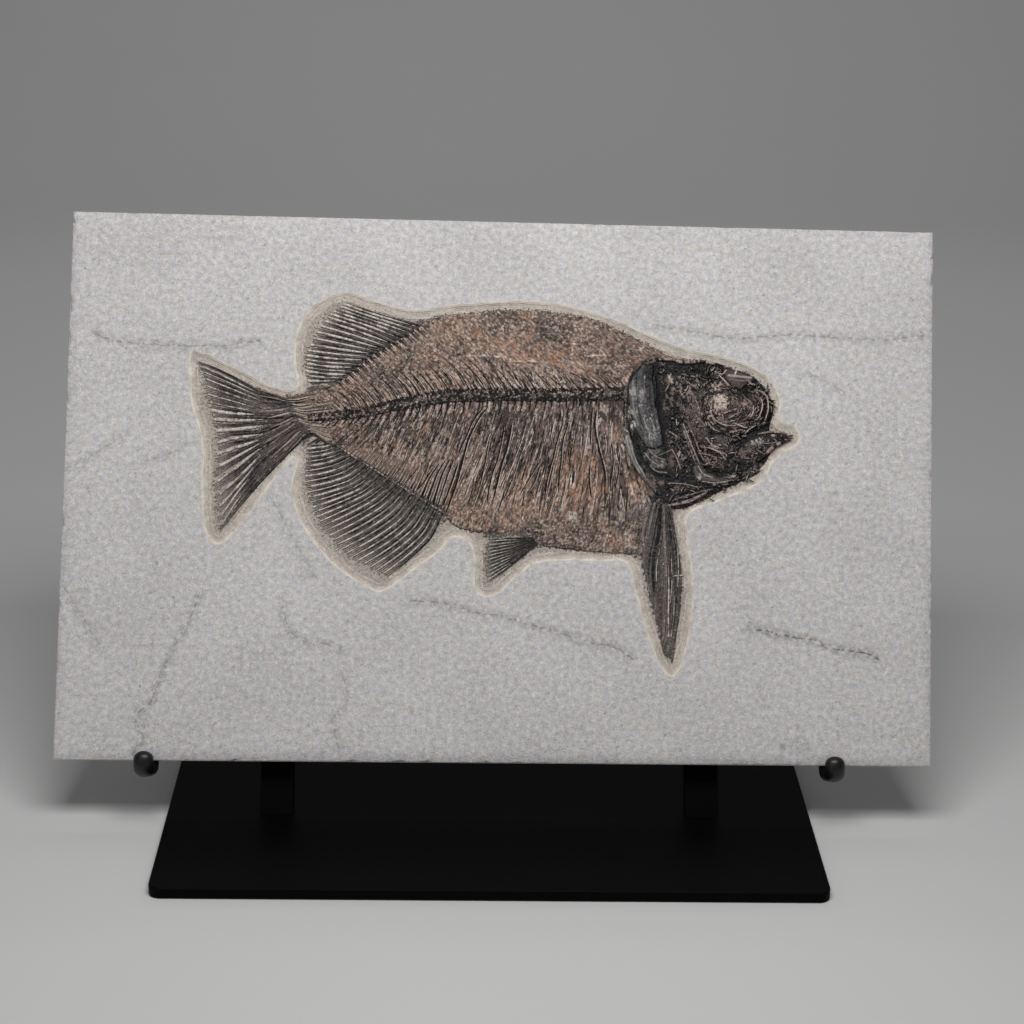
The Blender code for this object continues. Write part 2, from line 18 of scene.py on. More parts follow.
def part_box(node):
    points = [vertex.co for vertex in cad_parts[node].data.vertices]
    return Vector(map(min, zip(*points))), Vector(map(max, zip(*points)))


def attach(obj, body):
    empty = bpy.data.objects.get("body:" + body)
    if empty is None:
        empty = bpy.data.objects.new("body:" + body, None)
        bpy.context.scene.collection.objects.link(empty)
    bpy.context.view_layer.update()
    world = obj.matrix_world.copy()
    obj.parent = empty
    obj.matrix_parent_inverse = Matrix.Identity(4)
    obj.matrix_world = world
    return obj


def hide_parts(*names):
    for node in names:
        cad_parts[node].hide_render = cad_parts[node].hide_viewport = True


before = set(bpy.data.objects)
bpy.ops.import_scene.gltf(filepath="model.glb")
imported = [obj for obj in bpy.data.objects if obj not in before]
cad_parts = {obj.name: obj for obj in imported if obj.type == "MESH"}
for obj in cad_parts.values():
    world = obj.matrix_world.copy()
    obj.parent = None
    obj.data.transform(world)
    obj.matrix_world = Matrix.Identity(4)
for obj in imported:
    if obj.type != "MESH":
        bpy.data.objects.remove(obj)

Array = np.ndarray
Socket = bpy.types.NodeSocket
Line = tuple[tuple[float, float], ...]
Colour = tuple[float, float, float]

MM = 0.001
LOG = logging.getLogger("fish_slab")

def dots(*numbers: float) -> Line:
    """Points (u, v) whose numbers follow one another in a row."""
    return tuple(zip(numbers[::2], numbers[1::2]))


# Edge of the prepared hollow, clockwise from the upper tail tip.
HOLLOW_EDGE: Line = dots(
    96, 308, 104, 310, 125, 300.5, 152, 287, 170, 282, 178.5, 286, 175.5, 303, 178, 328, 190, 347, 212, 357,
    238, 350.5, 266, 344, 300, 348.5, 345, 352, 385, 348.5, 422, 337.5, 464, 319.5, 492, 313, 520, 305.5,
    537, 295, 547, 279, 547, 263, 560, 256, 561, 245, 549, 236.5, 540, 228, 532, 214.5, 502, 200.5, 482,
    192.5, 475, 182, 479.5, 150, 480.5, 120, 476, 90, 468, 68.5, 460, 68, 450, 85, 437, 127, 430, 151, 410,
    153, 366, 152, 348, 142, 332, 127.5, 321, 125.5, 314, 134, 312.5, 162, 299, 170, 283, 156, 250, 131.5,
    236, 130, 206, 150, 184, 178, 175, 205, 178.5, 227, 172, 226.5, 155, 203.5, 134.5, 174.5, 120, 163, 110,
    174, 107, 205, 106, 243, 98, 272
)

# Fins: the rails cross the rays at root, half way and tip.
TAIL_RAILS = (
    dots(171.5, 274.5, 177, 266.5, 180, 258.5, 187.5, 249.5),
    dots(138, 286.8, 143, 271, 147, 256, 150, 238, 153, 212),
    dots(101, 303, 106, 285, 113, 266, 117, 250, 117.5, 232, 117, 193, 121, 174.5),
)
DORSAL_RAILS = (
    dots(271.3, 333.9, 256.2, 323.9, 247.9, 318.9, 241, 314.6, 231.4, 308.5, 224.6, 302.2, 215, 292.9,
        206.1, 286.9),
    dots(241.8, 341.2, 231.1, 333, 223.5, 327.7, 216.7, 321.1, 208.5, 310.5, 203.8, 302.6, 199.8, 293.3,
        196.7, 285.7),
    dots(213.9, 350.7, 201.8, 342.1, 197.1, 335.9, 190.7, 327.4, 184.3, 313.3, 181.9, 305.3, 183.2, 295.3,
        186.4, 284.6),
)
ANAL_RAILS = (
    dots(290.4, 188.3, 271, 199.9, 252, 211.6, 233, 223.3, 219, 232.1, 203, 242.5),
    dots(283, 170.4, 259.3, 182.9, 238.8, 199.6, 221.8, 213, 209.3, 226.9, 198, 241),
    dots(268.2, 154.3, 239.3, 167.5, 220, 188.4, 205.6, 206.5, 198.6, 223.4, 192, 240.5),
    dots(248.9, 138.4, 217.6, 155.4, 196.6, 177, 186, 201.3, 184, 220.9, 186, 240),
)
PELVIC_RAILS = (
    dots(357, 171, 360.5, 164), dots(343, 171, 341.5, 158, 341, 147.5),
    dots(324, 170, 321, 158, 321.5, 146, 324.5, 134.5),
)
PECTORAL_RAILS = (
    dots(461.5, 197, 451, 199, 440.5, 197), dots(471.5, 140, 463, 132, 456, 135, 449, 148, 438, 172),
    dots(464.5, 77, 458, 84, 454, 100, 450, 115, 441.5, 150),
)

# Flank: the n-th points of all rails lie on one rib, from the tail to the gill cover.
BELLY = dots(
    190, 249.5, 201, 241.5, 214, 236.5, 238, 221, 264, 204, 285, 192, 303, 177.5, 330, 173.5, 357.5, 174,
    365, 165.5, 398, 161, 435, 159
)
LOW_FLANK = dots(
    187.5, 252, 202, 247, 219, 245, 245, 236, 273, 226, 295, 220, 315, 209, 342, 207, 365, 205, 374, 201,
    402, 196, 437.5, 203
)
UNDER_FLANK = dots(
    185, 254.5, 204, 252.5, 225, 253, 253, 252, 283, 249, 305, 247, 327, 243, 353, 242, 372, 240, 381, 239,
    406, 236, 427.5, 241
)
UNDER_SPINE = dots(
    182.5, 258, 205, 258, 230, 261, 260, 267, 290, 272, 312, 273.5, 335, 274.3, 360, 274.3, 377, 274.5, 387,
    274.7, 408, 275.3, 427, 275.8
)
OVER_SPINE = dots(
    181, 263, 204, 265, 229, 269.5, 259, 277, 289, 283, 311, 284.5, 334, 285.3, 359, 285.3, 376, 285.5, 386,
    285.7, 408, 286.3, 427.5, 286.8
)
UPPER_FLANK = dots(
    178, 269, 198, 273, 221, 279, 247, 292, 275, 304, 297, 311, 321, 314, 349, 315, 370, 315, 383, 315, 409,
    313, 437, 305
)
BACK = dots(
    173.5, 275.8, 188, 279.5, 209, 287, 231.5, 302.5, 256, 319.5, 277, 336, 305, 341.5, 338, 344.5, 360,
    344.5, 376, 343, 411, 335.5, 455, 314
)
HEAD_BED_RAILS = (
    dots(434, 243, 438, 226, 444, 210, 450, 197, 463, 193, 480, 197.5, 500, 207.5, 518, 216, 532, 226, 540,
        238),
    dots(429, 262, 436, 262, 450, 266, 462, 266, 475, 266, 490, 266, 505, 265, 520, 262, 530, 258, 538,
        252),
    dots(431, 292, 440, 305, 450, 309, 461, 309, 475, 307, 490, 305, 508, 300, 524, 291, 534, 280, 539,
        264),
)
FLANK_RAILS = (BELLY, LOW_FLANK, UNDER_FLANK, UNDER_SPINE, OVER_SPINE, UPPER_FLANK, BACK)

# Head: each rail runs from the gill cover forward to the snout.
SKULL_RAILS = (
    dots(466, 219, 480, 218, 492, 218, 503, 222, 506.5, 232, 509, 243.5, 520, 250.5, 531, 255.5, 538, 260),
    dots(461.5, 245, 477, 247, 490, 247, 503, 249, 510, 256, 516, 260, 524, 263, 533, 265, 540, 264),
    dots(456.5, 275, 473, 277, 487, 277, 502, 276, 513, 278, 521, 280, 530, 279, 537, 277, 541.5, 269),
    dots(453.5, 307.5, 470, 307.5, 485, 306.5, 500, 303.5, 512, 300.5, 521, 298, 528, 293.5, 534, 287.5,
        541, 274),
)
JAW_RAILS = (
    dots(509.5, 231, 518, 227.5, 527, 229.5, 534, 234.5, 541, 240.5, 547.5, 244.5, 552.5, 246.5),
    dots(512, 240, 521, 247, 532, 252, 541, 253, 548, 252.3, 552, 250.5, 554.2, 248.3),
)
THROAT_RAILS = (
    dots(463.5, 194.5, 473, 194.5, 483, 198.5, 493, 203.5, 503, 209, 513, 213.5, 522, 218.5, 531.5, 222.5),
    dots(462.5, 215, 473, 215.5, 483, 215, 493, 215, 502, 218, 509, 224.5, 519, 224.5, 529, 226),
)
GILL_RAILS = (
    dots(450, 219, 444, 226, 438, 236.5, 433.5, 247, 430.5, 257, 431, 271, 430, 285, 431.5, 296, 440, 303),
    dots(462, 218, 463, 226, 460.5, 236, 457.5, 247, 455.5, 258, 453.5, 273, 452.5, 287, 451.5, 296, 450.5,
        303.5),
)
SHOULDER_RAILS = (
    dots(427.8, 249, 429.6, 239.2, 433.8, 228.8, 439.4, 218.9, 446.6, 209.8, 453, 202.9),
    dots(431.2, 250, 433.4, 240.8, 437.2, 230.2, 442.6, 221.1, 449.4, 212.2, 455, 205.1),
)


# --- curves and patterns --------------------------------------------------------------

def rise(value: Array, low: float, high: float) -> Array:
    """Smooth step of a value from 0 at low to 1 at high."""
    t = np.clip((np.asarray(value, float) - low) / (high - low), 0.0, 1.0)
    return t * t * (3.0 - 2.0 * t)


def hermite(a: Array, b: Array, c: Array, d: Array, t: Array) -> Array:
    """Point between b and c of the Catmull-Rom curve through a, b, c and d."""
    return 0.5 * (2.0 * b + (c - a) * t + (2.0 * a - 5.0 * b + 4.0 * c - d) * t ** 2
        + (3.0 * b - a - 3.0 * c + d) * t ** 3)


def shares(count: int) -> Array:
    """Even shares from 0 to 1."""
    return np.linspace(0.0, 1.0, count)


def spline(points: Line, places: Array, closed: bool = False) -> Array:
    """Points of a smooth curve.

    Args:
        points: control points.
        places: how many control points each wanted place has passed.
        closed: whether the curve returns to its start.

    Returns:
        One point for each place.
    """
    control = np.asarray(points, float)
    if closed:
        padded = np.vstack([control[-1:], control, control[:2]])
        last = len(control) - 1
    else:
        padded = np.vstack([2.0 * control[0] - control[1], control, 2.0 * control[-1] - control[-2]])
        last = len(control) - 2
    start = np.clip(np.floor(places).astype(int), 0, last)
    t = (np.asarray(places, float) - start)[:, None]
    return hermite(*(padded[start + k] for k in range(4)), t)


def even_places(points: Line, count: int, closed: bool = False) -> Array:
    """Places of count + 1 points spaced evenly along the curve through the points."""
    spans = len(points) if closed else len(points) - 1
    fine = np.linspace(0.0, spans, 40 * spans + 1)
    steps = np.linalg.norm(np.diff(spline(points, fine, closed), axis=0), axis=1)
    length = np.concatenate([[0.0], np.cumsum(steps)])
    return np.interp(np.linspace(0.0, length[-1], count + 1), length, fine)


def smooth_line(points: Line, step: float = 1.0) -> Array:
    """Points about a step apart, in mm, on the smooth curve through the points."""
    control = np.asarray(points, float)
    reach = np.linalg.norm(np.diff(control, axis=0), axis=1).sum()
    return spline(points, even_places(points, max(int(reach / step), 2)))


def distance_to_line(points: Array, line: Array) -> Array:
    """Distance in mm from each point to a line of straight pieces."""
    best = np.full(len(points), 1e9)
    for start, end in zip(line[:-1], line[1:]):
        span = end - start
        t = ((points - start) @ span) / max(float(span @ span), 1e-9)
        near = points - start - np.clip(t, 0.0, 1.0)[:, None] * span
        best = np.minimum(best, (near * near).sum(axis=1))
    return np.sqrt(best)


def inside_outline(points: Array, outline: Array) -> Array:
    """Whether each point lies inside a closed outline."""
    inside = np.zeros(len(points), bool)
    for (x0, y0), (x1, y1) in zip(outline, np.roll(outline, -1, axis=0)):
        if y0 == y1:
            continue
        crosses = (y0 > points[:, 1]) != (y1 > points[:, 1])
        side = points[:, 0] < (x1 - x0) * (points[:, 1] - y0) / (y1 - y0) + x0
        inside ^= crosses & side
    return inside


def sideways(line: Array) -> Array:
    """Unit direction across a line, to its left, at each of its points."""
    along = np.gradient(line, axis=0)
    along /= np.maximum(np.linalg.norm(along, axis=1), 1e-9)[:, None]
    return np.column_stack([-along[:, 1], along[:, 0]])


class Grain:
    """Repeatable irregular patterns laid over the slab's face."""

    def __init__(self, seed: int) -> None:
        """Draw the table that every pattern is read from."""
        draw = np.random.default_rng(seed).random
        self.table = draw((256, 256))
        self.shift = draw((256, 256, 2))

    def value(self, u: Array, v: Array, size: float) -> Array:
        """Smooth pattern from 0 to 1 whose lumps are about size mm across."""
        x = np.asarray(u, float) / size
        y = np.asarray(v, float) / size
        i = np.floor(x).astype(int)
        j = np.floor(y).astype(int)
        s = x - i
        t = y - j
        s = s * s * (3.0 - 2.0 * s)
        t = t * t * (3.0 - 2.0 * t)
        low = self.table[i % 256, j % 256] * (1 - s) + self.table[(i + 1) % 256, j % 256] * s
        high = (self.table[i % 256, (j + 1) % 256] * (1 - s) + self.table[(i + 1) % 256, (j + 1) % 256]
            * s)
        return low * (1 - t) + high * t

    def cloud(self, u: Array, v: Array, size: float, layers: int = 3) -> Array:
        """Pattern from 0 to 1 with finer lumps laid over coarse ones."""
        total = np.zeros(np.broadcast(u, v).shape)
        weight = 0.0
        for layer in range(layers):
            share = 0.55 ** layer
            fine = 2.03 ** layer
            total += share * self.value(np.asarray(u) + 37.1 * layer, np.asarray(v) + 71.7 * layer,
                size / fine)
            weight += share
        return total / weight

    def over(self, points: Array, size: float) -> Array:
        """Cloud pattern at face points."""
        return self.cloud(points[..., 0], points[..., 1], size)

    def cells(self, u: Array, v: Array, size: float) -> tuple[Array, Array]:
        """Broken pieces about size mm across.

        Args:
            u: places along the face in mm.
            v: places up the face in mm.
            size: size of a piece in mm.

        Returns:
            The distance in mm to the nearest crack, and a number from 0 to 1 per piece.
        """
        x = np.asarray(u, float) / size
        y = np.asarray(v, float) / size
        i = np.floor(x).astype(int)
        j = np.floor(y).astype(int)
        first = np.full(x.shape, 9.0)
        second = np.full(x.shape, 9.0)
        mark = np.zeros(x.shape)
        for di in (-1, 0, 1):
            for dj in (-1, 0, 1):
                p = (i + di) % 256
                q = (j + dj) % 256
                apart = np.hypot(i + di + self.shift[p, q, 0] - x, j + dj + self.shift[p, q, 1] - y)
                nearer = apart < first
                second = np.where(nearer, first, np.minimum(second, apart))
                mark = np.where(nearer, self.table[p, q], mark)
                first = np.where(nearer, apart, first)
        return (second - first) * size / 2.0, mark


@dataclass(frozen=True)
class Patch:
    """Stretch of the face between rails, crossed by a along them and b across them."""

    rails: tuple[Line, ...]
    guide: int = -1

    def at(self, a: Array, b: Array) -> Array:
        """Face points of the patch.

        Args:
            a: share of the way along the rails.
            b: share of the way from the first rail to the last.

        Returns:
            Points (u, v) with the shape of a and b and one more axis.
        """
        a, b = np.broadcast_arrays(np.asarray(a, float), np.asarray(b, float))
        control = np.stack([self.along(k, a.ravel()) for k in range(len(self.rails))])
        padded = np.concatenate([2.0 * control[:1] - control[1:2], control, 2.0 * control[-1:]
            - control[-2:-1]])
        place = b.ravel() * (len(self.rails) - 1)
        start = np.clip(np.floor(place).astype(int), 0, len(self.rails) - 2)
        index = np.arange(len(place))
        corners = (padded[start + k, index] for k in range(4))
        return hermite(*corners, (place - start)[:, None]).reshape(a.shape + (2,))

    def point(self, a: float, b: float) -> Array:
        """One face point of the patch."""
        return self.at(np.array([a]), np.array([b]))[0]

    def along(self, rail: int, a: Array) -> Array:
        """Points of one rail, evenly spaced along it or along the guide rail."""
        spaced = self.rails[self.guide if self.guide >= 0 else rail]
        places = even_places(spaced, 300)
        held = np.clip(a, 0.0, 1.0)
        beyond = (a - held) * (len(spaced) - 1)
        return spline(self.rails[rail], np.interp(held, np.linspace(0, 1, 301), places) + beyond)

    def border(self, count: int = 40) -> Array:
        """Closed outline of the patch."""
        t = shares(count)[:-1]
        a = np.concatenate([t, np.ones_like(t), 1.0 - t, np.zeros_like(t)])
        b = np.concatenate([np.zeros_like(t), t, np.ones_like(t), 1.0 - t])
        return self.at(a, b)


TAIL = Patch(TAIL_RAILS)
DORSAL = Patch(DORSAL_RAILS, guide=0)
ANAL = Patch(ANAL_RAILS, guide=0)
PELVIC = Patch(PELVIC_RAILS)
PECTORAL = Patch(PECTORAL_RAILS)
FLANK = Patch(FLANK_RAILS, guide=3)
SKULL = Patch(SKULL_RAILS)
JAW = Patch(JAW_RAILS)
THROAT = Patch(THROAT_RAILS)
GILL = Patch(GILL_RAILS)
SHOULDER = Patch(SHOULDER_RAILS)
HEAD_BED = Patch(HEAD_BED_RAILS)


@dataclass(frozen=True)
class FacePlane:
    """Leaning plane of the slab's face, in which the fish lies."""

    middle: float = 332.5
    front: float = -36.0017
    foot: float = 53.0
    lean: float = math.radians(24.2)

    def matrix(self) -> Matrix:
        """Place of the plane in the object's frame, in metres."""
        return (Matrix.Translation((0.0, self.front * MM, self.foot * MM))
            @ Matrix.Rotation(math.pi / 2.0 - self.lean, 4, "X"))

    def local(self, places: Array) -> Array:
        """Points of the plane's own frame, in metres, from (u, v, h) in mm."""
        return (np.asarray(places, float) - (self.middle, 0.0, 0.0)) * MM


# --- bone tints and the marks that lay them -------------------------------------------

class Tint(Enum):
    """Shares of black, pale, rust and slate in a bone's brown."""

    BROWN = (0.0, 0.0, 0.0, 0.0)
    DUSK = (0.45, 0.0, 0.0, 0.1)
    BLACK = (1.0, 0.0, 0.0, 0.0)
    CHARCOAL = (0.7, 0.0, 0.0, 0.3)
    SLATE = (0.1, 0.0, 0.0, 0.9)
    ASH = (0.0, 0.35, 0.0, 0.6)
    PALE = (0.0, 0.9, 0.0, 0.0)
    BUFF = (0.0, 0.5, 0.15, 0.0)
    GLINT = (0.0, 1.0, 0.0, 0.4)
    RUST = (0.0, 0.0, 1.0, 0.0)
    OLIVE = (0.3, 0.1, 0.1, 0.2)
    UMBER = (0.5, 0.0, 0.6, 0.0)


(BROWN, DUSK, BLACK, CHARCOAL, SLATE, ASH, PALE, BUFF, GLINT, RUST, OLIVE, UMBER) = Tint
CHANNELS = ("stain", "pale", "rust", "slate")


class Relief:
    """Heights and tints of a low-relief surface, held for many face points at once."""

    def __init__(self, places: Array) -> None:
        """Start flat and brown at the given (u, v) places."""
        self.shape = places.shape[:-1]
        self.uv = places.reshape(-1, 2)
        self.height = np.zeros(len(self.uv))
        self.tint = np.zeros((len(self.uv), 4))

    def near(self, points: Array, reach: float) -> Array:
        """Indices of the places within reach of the points' box."""
        low = points.min(axis=0) - reach
        high = points.max(axis=0) + reach
        return np.flatnonzero(((self.uv >= low) & (self.uv <= high)).all(axis=1))

    def lay(self, index: Array, weight: Array, lift: float, tint: Tint) -> None:
        """Add a lift and blend towards a tint, both by weight.

        Args:
            index: indices of the places.
            weight: one weight from 0 to 1 for each of them.
            lift: height to add at full weight, in mm.
            tint: tint reached at full weight.
        """
        self.height[index] += lift * weight
        self.tint[index] += (np.array(tint.value) - self.tint[index]) * weight[:, None]

    def channels(self) -> dict[str, Array]:
        """Tint shares by name, ready to be kept on a mesh."""
        return {name: np.clip(self.tint[:, k], 0, 1) for k, name in enumerate(CHANNELS)}


@dataclass(frozen=True)
class Stroke:
    """A ridge or groove drawn along a line on the bones."""

    points: Line
    half: float
    lift: float
    tint: Tint
    strength: float = 0.9
    ragged: float = 0.35

    def draw(self, relief: Relief, grain: Grain) -> None:
        """Lay the stroke on a relief."""
        line = smooth_line(self.points, 1.5)
        index = relief.near(line, 2.5 * self.half)
        if len(index) == 0:
            return
        uv = relief.uv[index]
        apart = distance_to_line(uv, line)
        half = self.half * (1.0 + self.ragged * (grain.over(uv, 3.0) * 2 - 1))
        relief.lay(index, self.strength * np.exp(-(apart / half) ** 4), self.lift, self.tint)


@dataclass(frozen=True)
class Plate:
    """A flat bone with its own outline, a little domed, and a dark seam round it."""

    outline: Line
    lift: float
    tint: Tint
    strength: float = 0.85
    seam: float = 0.7
    rough: float = 0.0

    def draw(self, relief: Relief, grain: Grain) -> None:
        """Lay the plate on a relief."""
        ring = np.asarray(self.outline, float)
        index = relief.near(ring, 2.0)
        if len(index) == 0:
            return
        uv = relief.uv[index] + 1.6 * (np.stack([grain.cloud(relief.uv[index, 0], relief.uv[index, 1],
            4.0), grain.cloud(relief.uv[index, 1], relief.uv[index, 0], 4.0)], axis=1) - 0.5)
        apart = distance_to_line(uv, np.vstack([ring, ring[:1]]))
        inner = np.where(inside_outline(uv, ring), apart, -apart)
        cover = rise(inner, -0.3, 0.5)
        relief.height[index] *= 1.0 - cover * (1.0 - self.rough)
        relief.lay(index, self.strength * cover, self.lift / max(self.strength, 0.1), self.tint)
        relief.height[index] += 0.25 * rise(inner, 0.0, 4.0)
        if self.seam > 0.0:
            edge = self.seam * np.exp(-((inner + 0.3) / 0.7) ** 2)
            relief.lay(index, edge, -0.7, BLACK)


@dataclass(frozen=True)
class Spot:
    """A soft patch of another tint or height, broken up at its edge."""

    u: float
    v: float
    half_u: float
    half_v: float
    tilt: float
    lift: float
    tint: Tint
    strength: float = 0.6
    broken: float = 0.6
    size: float = 1.6

    def draw(self, relief: Relief, grain: Grain) -> None:
        """Lay the spot on a relief."""
        reach = 1.6 * max(self.half_u, self.half_v)
        index = relief.near(np.array([[self.u, self.v]]), reach)
        if len(index) == 0:
            return
        uv = relief.uv[index]
        turn = math.radians(self.tilt)
        x = (uv[:, 0] - self.u) * math.cos(turn) + (uv[:, 1] - self.v) * math.sin(turn)
        y = (uv[:, 1] - self.v) * math.cos(turn) - (uv[:, 0] - self.u) * math.sin(turn)
        radius = np.hypot(x / self.half_u, y / self.half_v)
        warp = 1.5 * (grain.cloud(uv[:, 1], uv[:, 0], 2.0) - 0.5)
        crack, piece = grain.cells(uv[:, 0] + 31.0 + warp + 0.6 * uv[:, 1], 0.55 * uv[:, 1] - 0.3
            * uv[:, 0] - warp, self.size)
        cover = self.strength * (1.0 - rise(radius, 0.55, 1.2))
        crumbs = (piece < cover) * rise(crack, 0.02, 0.2)
        weight = self.broken * crumbs + (1.0 - self.broken) * cover
        relief.lay(index, np.clip(weight, 0.0, 1.0), self.lift, self.tint)


# --- meshes ---------------------------------------------------------------------------

def link(name: str, data: bpy.types.ID) -> bpy.types.Object:
    """Put an object with its data into the scene."""
    thing = bpy.data.objects.new(name, data)
    bpy.context.scene.collection.objects.link(thing)
    return thing


def ring_faces(rings: int, size: int) -> list[tuple[int, ...]]:
    """Faces between rings of points that follow one another."""
    return [(k * size + i, k * size + (i + 1) % size, (k + 1) * size + (i + 1) % size, (k + 1) * size + i)
        for k in range(rings - 1) for i in range(size)]


def make_piece(name: str, places: Array, faces: list, channels: dict[str, Array],
               plane: FacePlane, flat: int = 0) -> bpy.types.Object:
    """Make a mesh object that lies in the slab's plane.

    Args:
        name: name of the piece.
        places: points (u, v, h) in mm.
        faces: vertex indices of each face.
        channels: values to keep for each vertex, by name.
        plane: the slab's plane.
        flat: how many of the last faces are flat shaded.

    Returns:
        The new object, linked to the scene.
    """
    mesh = bpy.data.meshes.new(name)
    mesh.from_pydata(plane.local(places), [], faces)
    smooth = np.ones(len(faces), bool)
    if flat:
        smooth[-flat:] = False
    mesh.polygons.foreach_set("use_smooth", smooth)
    for key, values in channels.items():
        layer = mesh.attributes.new(key, "FLOAT", "POINT")
        layer.data.foreach_set("value", np.ascontiguousarray(values, np.float32))
    mesh.validate()
    mesh.update()
    piece = link(name, mesh)
    piece.matrix_world = plane.matrix()
    return piece


def relief_sheet(name: str, relief: Relief, seat: float, plane: FacePlane) -> bpy.types.Object:
    """Closed piece with a modelled face, drawn down to a flat underside.

    Args:
        name: name of the piece.
        relief: relief whose places form a grid.
        seat: height of the underside in mm.
        plane: the slab's plane.

    Returns:
        The new object.
    """
    rows, columns = relief.shape
    index = np.arange(rows * columns).reshape(rows, columns)
    quads = np.stack([index[:-1, :-1], index[1:, :-1], index[1:, 1:], index[:-1, 1:]], axis=-1)
    quads = quads.reshape(-1, 4)
    ring = np.concatenate([index[:-1, 0], index[-1, :-1], index[:0:-1, -1], index[0, :0:-1]])
    grid = relief.uv.reshape(rows, columns, 2)
    one = grid[rows // 2 + 1, columns // 2] - grid[rows // 2, columns // 2]
    two = grid[rows // 2, columns // 2 + 1] - grid[rows // 2, columns // 2]
    if one[0] * two[1] - one[1] * two[0] < 0.0:
        quads = quads[:, ::-1]
        ring = ring[::-1]
    count = rows * columns
    under = count + np.arange(len(ring))
    walls = np.stack([np.roll(ring, -1), ring, under, np.roll(under, -1)], axis=-1)
    top = np.column_stack([relief.uv, np.maximum(relief.height, seat + 0.05)])
    foot = np.column_stack([relief.uv[ring], np.full(len(ring), seat)])
    channels = {key: np.concatenate([values, values[ring]]) for key, values in relief.channels().items()}
    faces = quads.tolist() + walls.tolist() + [under[::-1].tolist()]
    return make_piece(name, np.vstack([top, foot]), faces, channels, plane, len(ring) + 1)


class StrandBundle:
    """Thin bones lying side by side, joined into one closed piece."""

    ACROSS = np.array([-1.0, 0.0, 1.0, 1.0, -1.0])
    UP = np.array([0.0, 1.0, 0.0, 0.0, 0.0])
    DROP = np.array([0.0, 0.0, 0.0, 1.0, 1.0])

    def __init__(self, drop: float = 0.5) -> None:
        """Start an empty bundle whose strands reach a drop below their edges."""
        self.drop = drop
        self.places: list[Array] = []
        self.tints: list[Array] = []
        self.faces: list[list[int]] = []
        self.count = 0

    def add(self, line: Array, half: Array, base: Array, crown: Array, tint: Array) -> None:
        """Add one strand.

        Args:
            line: points (u, v) of its middle.
            half: half width at each point, in mm.
            base: height of its edges at each point, in mm.
            crown: height of its middle above its edges, in mm.
            tint: tint shares, for the strand or for each point.
        """
        count = len(line)
        half, base, crown = (np.broadcast_to(np.asarray(x, float), (count,)) for x in (half, base, crown))
        across = sideways(line)
        sides = len(self.ACROSS)
        uv = line[:, None, :] + across[:, None, :] * (half[:, None] * self.ACROSS)[..., None]
        h = base[:, None] + crown[:, None] * self.UP - self.drop * self.DROP
        self.places.append(np.concatenate([uv, h[..., None]], axis=2).reshape(-1, 3))
        shares = np.broadcast_to(np.asarray(tint, float), (count, 4))
        self.tints.append(np.repeat(shares, sides, axis=0))
        index = self.count + np.arange(count * sides).reshape(count, sides)
        after = np.roll(index, -1, axis=1)
        quads = np.stack([index[:-1], index[1:], after[1:], after[:-1]], axis=-1)
        self.faces += quads.reshape(-1, 4).tolist()
        self.faces.append(index[0].tolist())
        self.faces.append(index[-1, ::-1].tolist())
        self.count += count * sides

    def piece(self, name: str, plane: FacePlane) -> bpy.types.Object:
        """Join the strands into one object."""
        tint = np.clip(np.vstack(self.tints), 0.0, 1.0)
        channels = {key: tint[:, k] for k, key in enumerate(CHANNELS)}
        return make_piece(name, np.vstack(self.places), self.faces, channels, plane)


# --- shader helpers -------------------------------------------------------------------

def srgb(red: float, green: float, blue: float) -> Colour:
    """Linear colour from display values of 0 to 255."""
    return tuple(c / 12.92 if c <= 0.04045 else ((c + 0.055) / 1.055) ** 2.4
        for c in (red / 255.0, green / 255.0, blue / 255.0))


